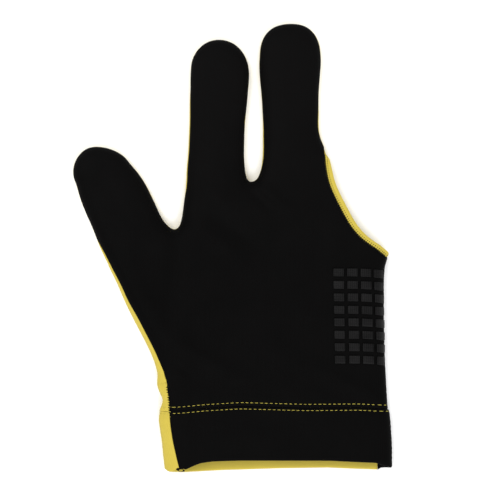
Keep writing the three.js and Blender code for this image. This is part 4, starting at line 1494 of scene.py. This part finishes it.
def thread_shape(width):
    """A short thread lying along X with rounded ends, one unit long, as points and faces."""
    deselect_all()
    bpy.ops.mesh.primitive_uv_sphere_add(
        segments=THREAD["sides"], ring_count=THREAD["rings"], radius=0.5, rotation=(0, math.pi / 2, 0)
    )
    bpy.ops.object.transform_apply(location=False, rotation=True, scale=False)
    points, faces = take_mesh(bpy.context.object)
    out = np.abs(points[:, 0] * 2)
    ball = np.sqrt(np.maximum(1 - out**2, 0))
    wanted = np.sqrt(np.maximum(1 - out ** THREAD["fullness"], 0))
    wider = np.minimum(wanted / np.maximum(ball, THREAD["least"]), THREAD["most"])
    points[:, 1] *= width * wider
    points[:, 2] *= width * THREAD["flatness"] * wider
    return points, faces


def sew(plan, name, threads, width, bow, material, slot):
    """One piece of short threads, each from its start to its end and bowed along its normal."""
    shape, faces = thread_shape(width)
    rise = bow * (1 - (2 * shape[:, :1]) ** 2)
    places, all_faces, flat = [], [], []
    for number, (start, end, normal) in enumerate(threads):
        along = end - start
        reach = np.linalg.norm(along)
        ahead = along / reach
        side = unit(np.cross(normal, ahead))
        up = np.cross(ahead, side)
        middle = (start + end) / 2
        places.append(middle + shape[:, :1] * along + shape[:, 1:2] * side + (shape[:, 2:] + rise) * up)
        all_faces += [tuple(index + number * len(shape) for index in face) for face in faces]
        flat.append(np.column_stack([shape[:, 0] * reach + number * THREAD["spacing"], shape[:, 1]]))
    piece = make_object(name, np.vstack(places), all_faces, np.vstack(flat))
    piece.data.transform(Matrix.Translation(plan.shift))
    dress(piece, material, slot)


def surface_frame(plan, points, ahead, layer, proud, lift):
    """Places just above the cloth, with the outward normals there."""
    depth = plan.surface_depth(points, layer, proud) - lift

    def slope(step):
        return plan.roll(points + step, layer, depth) - plan.roll(points - step, layer, depth)

    beside = np.column_stack([-ahead[:, 1], ahead[:, 0]])
    normals = np.cross(slope(ahead * SLOPE_REACH), slope(beside * SLOPE_REACH))
    return plan.roll(points, layer, depth), unit(normals) * layer


def topstitch_row(plan, layer, shift, proud):
    """One row of topstitch on one sheet, as starts, ends and normals."""
    sizes = plan.sizes
    left, right = plan.sheet_edges(layer, TOPSTITCH["edge_step"])
    over = plan.over_seam(layer, shift)
    start = crossing_of(left, over, TOPSTITCH["edge_step"])[0]
    end = crossing_of(right, over, TOPSTITCH["edge_step"])[0]
    fine = level_line(start, end, over, TOPSTITCH["row_step"])
    line = even_line(fine, sizes.stitch_pitch)
    ahead = unit(line[1:] - line[:-1])
    chance = np.random.default_rng(int(abs(shift) * TOPSTITCH["seeds_per_metre"]) + layer)
    sway = chance.normal(0, TOPSTITCH["sway"], len(ahead))[:, None]
    share = chance.uniform(TOPSTITCH["shortest"], TOPSTITCH["longest"], len(ahead))[:, None]
    middles = (line[1:] + line[:-1]) / 2 + ahead * sway
    half = ahead * sizes.stitch_length / 2 * share
    starts, _ = surface_frame(plan, middles - half, ahead, layer, proud, TOPSTITCH["lift"])
    ends, _ = surface_frame(plan, middles + half, ahead, layer, proud, TOPSTITCH["lift"])
    _, normals = surface_frame(plan, middles, ahead, layer, proud, TOPSTITCH["lift"])
    return list(zip(starts, ends, normals))


def beside_seam(plan, points, ahead, inward_shift, lift):
    """Places on the palm side's cloth, moved inward from its seam with the strip."""
    inward = np.column_stack([ahead[:, 1], -ahead[:, 0]])
    return surface_frame(plan, points + inward * inward_shift, ahead, PALM, 0.0, lift)[0]


def overlock_threads(plan):
    """The black teeth over the strip's seam, and the yellow crossings between the lower ones."""
    sizes = plan.sizes
    height = sizes.cuff_height
    left, _ = plan.sheet_edges(PALM, sizes.tooth_pitch)
    near = left[(left[:, 1] > OVERLOCK["low"] * height) & (left[:, 1] < OVERLOCK["high"] * height)]
    ahead = unit(near[1:] - near[:-1])
    near = near[1:]
    slant = ahead * sizes.tooth_pitch * TOOTH["slant"]
    starts = beside_seam(plan, near, ahead, TOOTH["start"], TOOTH["lift"])
    ends = beside_seam(plan, near + slant, ahead, TOOTH["end"], TOOTH["lift"])
    _, normals = surface_frame(plan, near, ahead, PALM, 0.0, TOOTH["normal_lift"])
    teeth = list(zip(starts, ends, normals))
    low = np.flatnonzero(near[:, 1] < OVERLOCK["crossed"] * height)[::2]
    ahead = ahead[low]
    middles = near[low] + ahead * sizes.tooth_pitch / 2
    starts = beside_seam(plan, middles, ahead, CROSSING["start"], CROSSING["lift"])
    ends = beside_seam(plan, middles, ahead, CROSSING["end"], CROSSING["lift"])
    return teeth, list(zip(starts, ends, normals[low]))


def knot_lump(corner, lump):
    """A rough lump of tied thread, modelled from a round primitive."""
    bpy.ops.mesh.primitive_ico_sphere_add(subdivisions=3, radius=1.0)
    ball = bpy.context.object
    points = points_of(ball.data)
    rough = 1 + sum(wave["share"] * np.sin(points @ np.array(wave["way"])) for wave in KNOT_ROUGHNESS)
    points = (points * rough[:, None] * np.array(lump["radii"]) + np.array(lump["place"])) * MM
    for vertex, place in zip(ball.data.vertices, points + corner):
        vertex.co = place
    return ball


def knot_loop(corner):
    """The thread's loop, modelled from a ring."""
    bpy.ops.mesh.primitive_torus_add(
        major_radius=KNOT_LOOP["radius"] * MM,
        minor_radius=KNOT_LOOP["thread"] * MM,
        major_segments=KNOT_LOOP["segments"],
        minor_segments=KNOT_LOOP["sides"],
    )
    loop = bpy.context.object
    loop.scale = KNOT_LOOP["stretch"]
    bpy.ops.object.transform_apply(location=False, rotation=False, scale=True)
    loop.data.transform(Matrix.Translation(Vector(corner) + Vector(KNOT_LOOP["place"]) * MM))
    return loop


def tied_knot(corner):
    """A thread's loop between small knots at the hem's corner, as one piece."""
    deselect_all()
    lumps = [knot_lump(corner, lump) for lump in KNOT_LUMPS]
    loop = knot_loop(corner)
    for thing in (*lumps, loop):
        thing.location = (0.0, 0.0, 0.0)
        thing.select_set(True)
    bpy.context.view_layer.objects.active = loop
    bpy.ops.object.join()
    loop.name = "seam_end_knot"
    loop.data.name = "seam_end_knot"
    bpy.ops.object.shade_smooth()
    for layer in list(loop.data.uv_layers):
        loop.data.uv_layers.remove(layer)
    lay_flat(loop.data, (points_of(loop.data) - corner)[:, :2])
    return loop


# The binding of the opening


def ring_of(front, back):
    """A closed ring that runs along the front and comes back along the back."""
    return np.concatenate([front, back[::-1][1:-1]])


def binding_frame(plan, step):
    """The stations round the opening: their centres, the ways out and up, and the binding's reach.
    They run along the palm side from the middle finger down, and back up behind it."""
    line = plan.opening_line(step)
    depth = plan.sizes.cloth + BINDING["depth"]
    flat = plan.flatten(line)
    out = np.column_stack([directions(line)[1], np.zeros(len(line))])
    reach = share_at(BINDING_REACH, np.linspace(0, 1, len(line))) * plan.sizes.binding_width
    centres = ring_of(plan.roll(flat, PALM, depth), plan.roll(flat, BACK, depth))
    along = unit(np.roll(centres, -1, axis=0) - np.roll(centres, 1, axis=0))
    ups = unit(np.cross(along, ring_of(out, out)))
    outs = unit(np.cross(ups, along))
    return centres, outs, ups, ring_of(reach, reach)


def binding_point(plan, centre, out, up, reach, across, rise):
    """A point of the binding's section at one station."""
    span = plan.sizes.binding_tuck if across < 0 else reach
    return centre + out * across * span + up * rise * plan.sizes.binding_thickness


def binding_top(across):
    """The height of the binding's outer face over its middle."""
    rows = BINDING_SECTION[BINDING["outer_from"] :][::-1]
    return np.interp(across, [row["across"] for row in rows], [row["up"] for row in rows])


def ring_faces(stations, count):
    """The faces between the sections of a closed ring, each with a count of points."""
    faces = []
    for station in range(stations):
        near = station * count
        far = (station + 1) % stations * count
        for side in range(count):
            other = (side + 1) % count
            faces.append((near + side, near + other, far + other, far + side))
    return faces


def binding_mesh(plan):
    """The folded binding: its points, faces and flat places."""
    step = BINDING["step"]
    stations = list(zip(*binding_frame(plan, step)))
    rows = np.array([[row["across"], row["up"]] for row in BINDING_SECTION])
    section = smooth_line(np.vstack([rows, rows[:1]]), BINDING["section_step"])[:-1]
    gathers = np.sin(np.arange(len(stations)) * step / plan.sizes.cover_pitch * 2 * math.pi)
    places, flat = [], []
    for number, station in enumerate(stations):
        for across, rise in section:
            near = max(0.0, 1 - abs(across - BINDING["gathered_at"]))
            swell = 1 + BINDING["gather"] * gathers[number] * near
            places.append(binding_point(plan, *station, across, rise * swell))
            up = across * plan.sizes.binding_width + rise * BINDING["flat_rise"]
            flat.append((number * step, up))
    return np.array(places), ring_faces(len(stations), len(section)), np.array(flat)


def binding_spot(plan, station, stitch):
    """A place on the binding's outer face, where a stitch or a needle mark lies."""
    across = min(stitch["out"] / station[-1], stitch["most"])
    return binding_point(plan, *station, across, binding_top(across) + stitch["rise"])


def cover_threads(plan):
    """The zigzag that sews the binding to the cloth on both sides, and its needle marks."""
    sizes = plan.sizes
    stations = list(zip(*binding_frame(plan, sizes.cover_pitch)))
    line = plan.opening_line(sizes.cover_pitch)
    ahead, left = directions(line)
    steps = np.column_stack([ahead, np.zeros(len(line))]) * sizes.cover_pitch / 2
    zigzag, marks = [], []
    for layer in (PALM, BACK):
        cloth_points = plan.flatten(line - left * COVER["inside"])
        cloth_places, _ = surface_frame(plan, cloth_points, ahead, layer, 0.0, COVER["lift"])
        for number in range(1, len(line) - 1):
            station = stations[number if layer > 0 else len(stations) - number]
            _, side, up, reach = station
            if reach < COVER["least_reach"] * sizes.binding_width:
                continue
            step, start = steps[number], cloth_places[number]
            rim = binding_spot(plan, station, COVER) + step
            zigzag += [(start, rim, up), (rim, start + 2 * step, up)]
            mark = binding_spot(plan, station, MARK)
            mark_end = mark + step * MARK["end"] + side * MARK["length"]
            marks.append((mark + step * MARK["start"], mark_end, up))
    return zigzag, marks


# Grip tiles


def tile_shape(sizes):
    """A tile around the origin with rounded edges, as points and faces."""
    deselect_all()
    bpy.ops.mesh.primitive_cube_add(size=1)
    tile = bpy.context.object
    tile.scale = (sizes.tile_width, sizes.tile_length, sizes.tile_thickness + TILE_SUNK)
    bpy.ops.object.transform_apply(location=False, rotation=False, scale=True)
    tile.data.transform(Matrix.Translation((0, 0, (sizes.tile_thickness - TILE_SUNK) / 2)))
    bevel = tile.modifiers.new("round", "BEVEL")
    bevel.width = sizes.tile_bevel
    bevel.segments = TILE_SEGMENTS
    bpy.ops.object.modifier_apply(modifier="round")
    bpy.ops.object.mode_set(mode="EDIT")
    bpy.ops.mesh.select_all(action="SELECT")
    bpy.ops.mesh.subdivide(number_cuts=TILE_CUTS)
    bpy.ops.object.mode_set(mode="OBJECT")
    return take_mesh(tile)


def tile_places(plan, shape, row, column):
    """The places of one tile's points, laid over the palm's cloth."""
    sizes = plan.sizes
    first, last = column["narrow"]
    width = 1 - first - (last - first) * row / (TILE_ROWS - 1)
    near = plan.corner[0] - (column["out"] - row * column["drift"]) * sizes.tile_across
    x = near + width * sizes.tile_width / 2
    y = plan.corner[1] - sizes.tile_top - sizes.tile_length / 2 - row * sizes.tile_along
    fall = column["drop"] * sizes.tile_length + shape[:, 0] * column["slope"]
    flat = plan.flatten(np.column_stack([x + shape[:, 0] * width, y + shape[:, 1] - fall]))
    thin = column["thin"] * (shape[:, 0] / sizes.tile_width + 0.5)
    depth = -plan.relief(flat, PALM) - shape[:, 2] * (1 - thin)
    return plan.roll(flat, PALM, depth) + plan.shift


# The stage


def set_floor():
    """The plain floor just under the glove."""
    deselect_all()
    bpy.ops.mesh.primitive_plane_add(size=FLOOR["size"], location=(0, 0, FLOOR["level"]))
    floor = bpy.context.object
    bpy.ops.object.transform_apply(location=True, rotation=False, scale=False)
    floor.name = "floor"
    floor.data.materials.append(pale_floor())


def set_light(light):
    """A soft square light that shines on the glove."""
    bpy.ops.object.light_add(type="AREA", location=light["place"])
    made = bpy.context.object
    made.name = light["name"]
    made.data.size = light["size"]
    made.data.energy = light["power"]
    made.rotation_euler = (-Vector(light["place"])).to_track_quat("-Z", "Y").to_euler()


def set_world(scene):
    """Even white light from all around."""
    world = scene.world or bpy.data.worlds.new("studio")
    scene.world = world
    world.use_nodes = True
    background = world.node_tree.nodes["Background"]
    background.inputs["Color"].default_value = (1.0, 1.0, 1.0, 1.0)
    background.inputs["Strength"].default_value = WORLD_STRENGTH
    scene.view_settings.view_transform = "Standard"


def set_camera(scene):
    """A long lens straight above, with the photograph's frame and the glove's place in it."""
    x, y, z = CAMERA["aim"]
    height = z + CAMERA["lens"] / CAMERA["sensor"] * CAMERA["view_width"]
    bpy.ops.object.camera_add(location=(x, y, height), rotation=(0, 0, 0))
    camera = bpy.context.object
    camera.data.lens = CAMERA["lens"]
    camera.data.sensor_width = CAMERA["sensor"]
    camera.data.clip_start = CAMERA["nearest"]
    camera.data.clip_end = CAMERA["farthest"]
    scene.camera = camera


# Operators


class GLOVE_OT_palm_cloth(bpy.types.Operator):
    """Lays the black cloth of the palm side, with its fold round to the back."""

    bl_idname = "glove.palm_cloth"
    bl_label = "Palm cloth"

    def execute(self, context):
        plan = Plan(context.scene.glove_sizes)
        outline = panel_outline(plan, PALM)
        cloth_piece("palm_cloth", plan, PALM, outline, black_cloth(), "black_cloth", "palm_panel")
        return {"FINISHED"}


class GLOVE_OT_back_cloth(bpy.types.Operator):
    """Lays the yellow cloth of the back, with its strip beside the thumb."""

    bl_idname = "glove.back_cloth"
    bl_label = "Back cloth"

    def execute(self, context):
        plan = Plan(context.scene.glove_sizes)
        outline = panel_outline(plan, BACK)
        cloth_piece("back_cloth", plan, BACK, outline, yellow_cloth(), "yellow_cloth", "back_panel")
        return {"FINISHED"}


class GLOVE_OT_cuff_bands(bpy.types.Operator):
    """Lays the doubled bands of the cuff, black on the palm side and yellow on the back."""

    bl_idname = "glove.cuff_bands"
    bl_label = "Cuff bands"

    def execute(self, context):
        plan = Plan(context.scene.glove_sizes)
        bands = [
            ("palm_cuff_band", PALM, black_cloth(), "black_cloth", "palm_cuff"),
            # the back's cuff band takes the yellow with painted shade
            ("back_cuff_band", BACK, shaded_yellow_cloth(), "yellow_cloth", "back_cuff"),
        ]
        for name, layer, material, slot, node in bands:
            outline = cuff_outline(plan, layer)
            cloth_piece(name, plan, layer, outline, material, slot, node, plan.sizes.cuff_proud)
        return {"FINISHED"}


class GLOVE_OT_opening_binding(bpy.types.Operator):
    """Folds the yellow binding round the opening for the other two fingers."""

    bl_idname = "glove.opening_binding"
    bl_label = "Opening binding"

    def execute(self, context):
        plan = Plan(context.scene.glove_sizes)
        places, faces, flat = binding_mesh(plan)
        piece = make_object("folded_binding", places + plan.shift, faces, flat)
        dress(piece, yellow_cloth(), "yellow_cloth", "opening_binding")
        return {"FINISHED"}


class GLOVE_OT_cover_stitch(bpy.types.Operator):
    """Sews the binding to the cloth with a black zigzag, and marks its needle holes."""

    bl_idname = "glove.cover_stitch"
    bl_label = "Cover stitch"

    def execute(self, context):
        plan = Plan(context.scene.glove_sizes)
        zigzag, marks = cover_threads(plan)
        width = plan.sizes.cover_width
        sew(plan, "cover_stitch", zigzag, width, COVER["bow"], black_thread(), "black_cloth")
        sew(plan, "needle_marks", marks, MARK["width"], 0.0, black_thread(), "black_cloth")
        return {"FINISHED"}


class GLOVE_OT_topstitch(bpy.types.Operator):
    """Sews the two rows of yellow topstitch round the cuff's seam."""

    bl_idname = "glove.topstitch"
    bl_label = "Topstitch"

    def execute(self, context):
        plan = Plan(context.scene.glove_sizes)
        sizes = plan.sizes
        rows = [
            ("upper_topstitch", sizes.upper_row, 0.0),
            ("lower_topstitch", -sizes.lower_row, sizes.cuff_proud),
        ]
        for name, shift, proud in rows:
            threads = topstitch_row(plan, PALM, shift, proud) + topstitch_row(plan, BACK, shift, proud)
            sew(plan, name, threads, sizes.stitch_width, TOPSTITCH["bow"], yellow_thread(), "yellow_cloth")
        return {"FINISHED"}


class GLOVE_OT_seam_ends(bpy.types.Operator):
    """Overlocks the strip's seam beside the cuff, and ties off its thread at the hem."""

    bl_idname = "glove.seam_ends"
    bl_label = "Seam ends"

    def execute(self, context):
        plan = Plan(context.scene.glove_sizes)
        teeth, crossings = overlock_threads(plan)
        sew(plan, "seam_overlock", teeth, TOOTH["width"], TOOTH["bow"], black_thread(), "black_cloth")
        width, bow = CROSSING["width"], CROSSING["bow"]
        sew(plan, "seam_crossings", crossings, width, bow, yellow_thread(), "yellow_cloth")
        hem = cuff_outline(plan, PALM)[0][1][:1]
        corner = plan.roll(hem, PALM, KNOT_DEPTH * MM)[0] + plan.shift
        dress(tied_knot(corner), black_thread(), "black_cloth")
        return {"FINISHED"}


class GLOVE_OT_grip_tiles(bpy.types.Operator):
    """Moulds one rubber tile and lays its copies over the heel of the palm."""

    bl_idname = "glove.grip_tiles"
    bl_label = "Grip tiles"

    def execute(self, context):
        plan = Plan(context.scene.glove_sizes)
        shape, faces = tile_shape(plan.sizes)
        for row in range(TILE_ROWS):
            for number, column in enumerate(TILE_COLUMNS):
                places = tile_places(plan, shape, row, column)
                name = f"moulded_tile_{row + 1}_{number + 1}"
                tile = make_object(name, places, faces, shape[:, :2])
                dress(tile, grip_rubber(), "grip_rubber", f"grip_tile_{row + 1}_{number + 1}")
        return {"FINISHED"}


class GLOVE_OT_stage(bpy.types.Operator):
    """Sets the pale floor, the soft lights and the camera straight above the glove."""

    bl_idname = "glove.stage"
    bl_label = "Stage"

    def execute(self, context):
        set_floor()
        for light in LIGHTS:
            set_light(light)
        set_world(context.scene)
        set_camera(context.scene)
        return {"FINISHED"}


class GLOVE_PT_panel(bpy.types.Panel):
    """Lists the glove's sizes and the steps that build it."""

    bl_label = "Billiard Glove"
    bl_idname = "GLOVE_PT_panel"
    bl_space_type = "VIEW_3D"
    bl_region_type = "UI"
    bl_category = "Glove"

    def draw(self, context):
        for group in (context.scene.glove_sizes, context.scene.glove_colours):
            box = self.layout.box()
            for name in group.__annotations__:
                box.prop(group, name)
        for step in STEPS:
            self.layout.operator(step.bl_idname)


STEPS = [
    GLOVE_OT_palm_cloth,
    GLOVE_OT_back_cloth,
    GLOVE_OT_cuff_bands,
    GLOVE_OT_opening_binding,
    GLOVE_OT_cover_stitch,
    GLOVE_OT_topstitch,
    GLOVE_OT_seam_ends,
    GLOVE_OT_grip_tiles,
    GLOVE_OT_stage,
]


def register():
    for group in (GloveSizes, GloveColours, *STEPS, GLOVE_PT_panel):
        bpy.utils.register_class(group)
    bpy.types.Scene.glove_sizes = bpy.props.PointerProperty(type=GloveSizes)
    bpy.types.Scene.glove_colours = bpy.props.PointerProperty(type=GloveColours)


def unregister():
    del bpy.types.Scene.glove_sizes
    del bpy.types.Scene.glove_colours
    for group in (GLOVE_PT_panel, *reversed(STEPS), GloveColours, GloveSizes):
        bpy.utils.unregister_class(group)


def main():
    register()
    bpy.ops.glove.palm_cloth()
    bpy.ops.glove.back_cloth()
    bpy.ops.glove.cuff_bands()
    bpy.ops.glove.opening_binding()
    bpy.ops.glove.cover_stitch()
    bpy.ops.glove.topstitch()
    bpy.ops.glove.seam_ends()
    bpy.ops.glove.grip_tiles()
    bpy.ops.glove.stage()


if __name__ == "__main__":
    main()
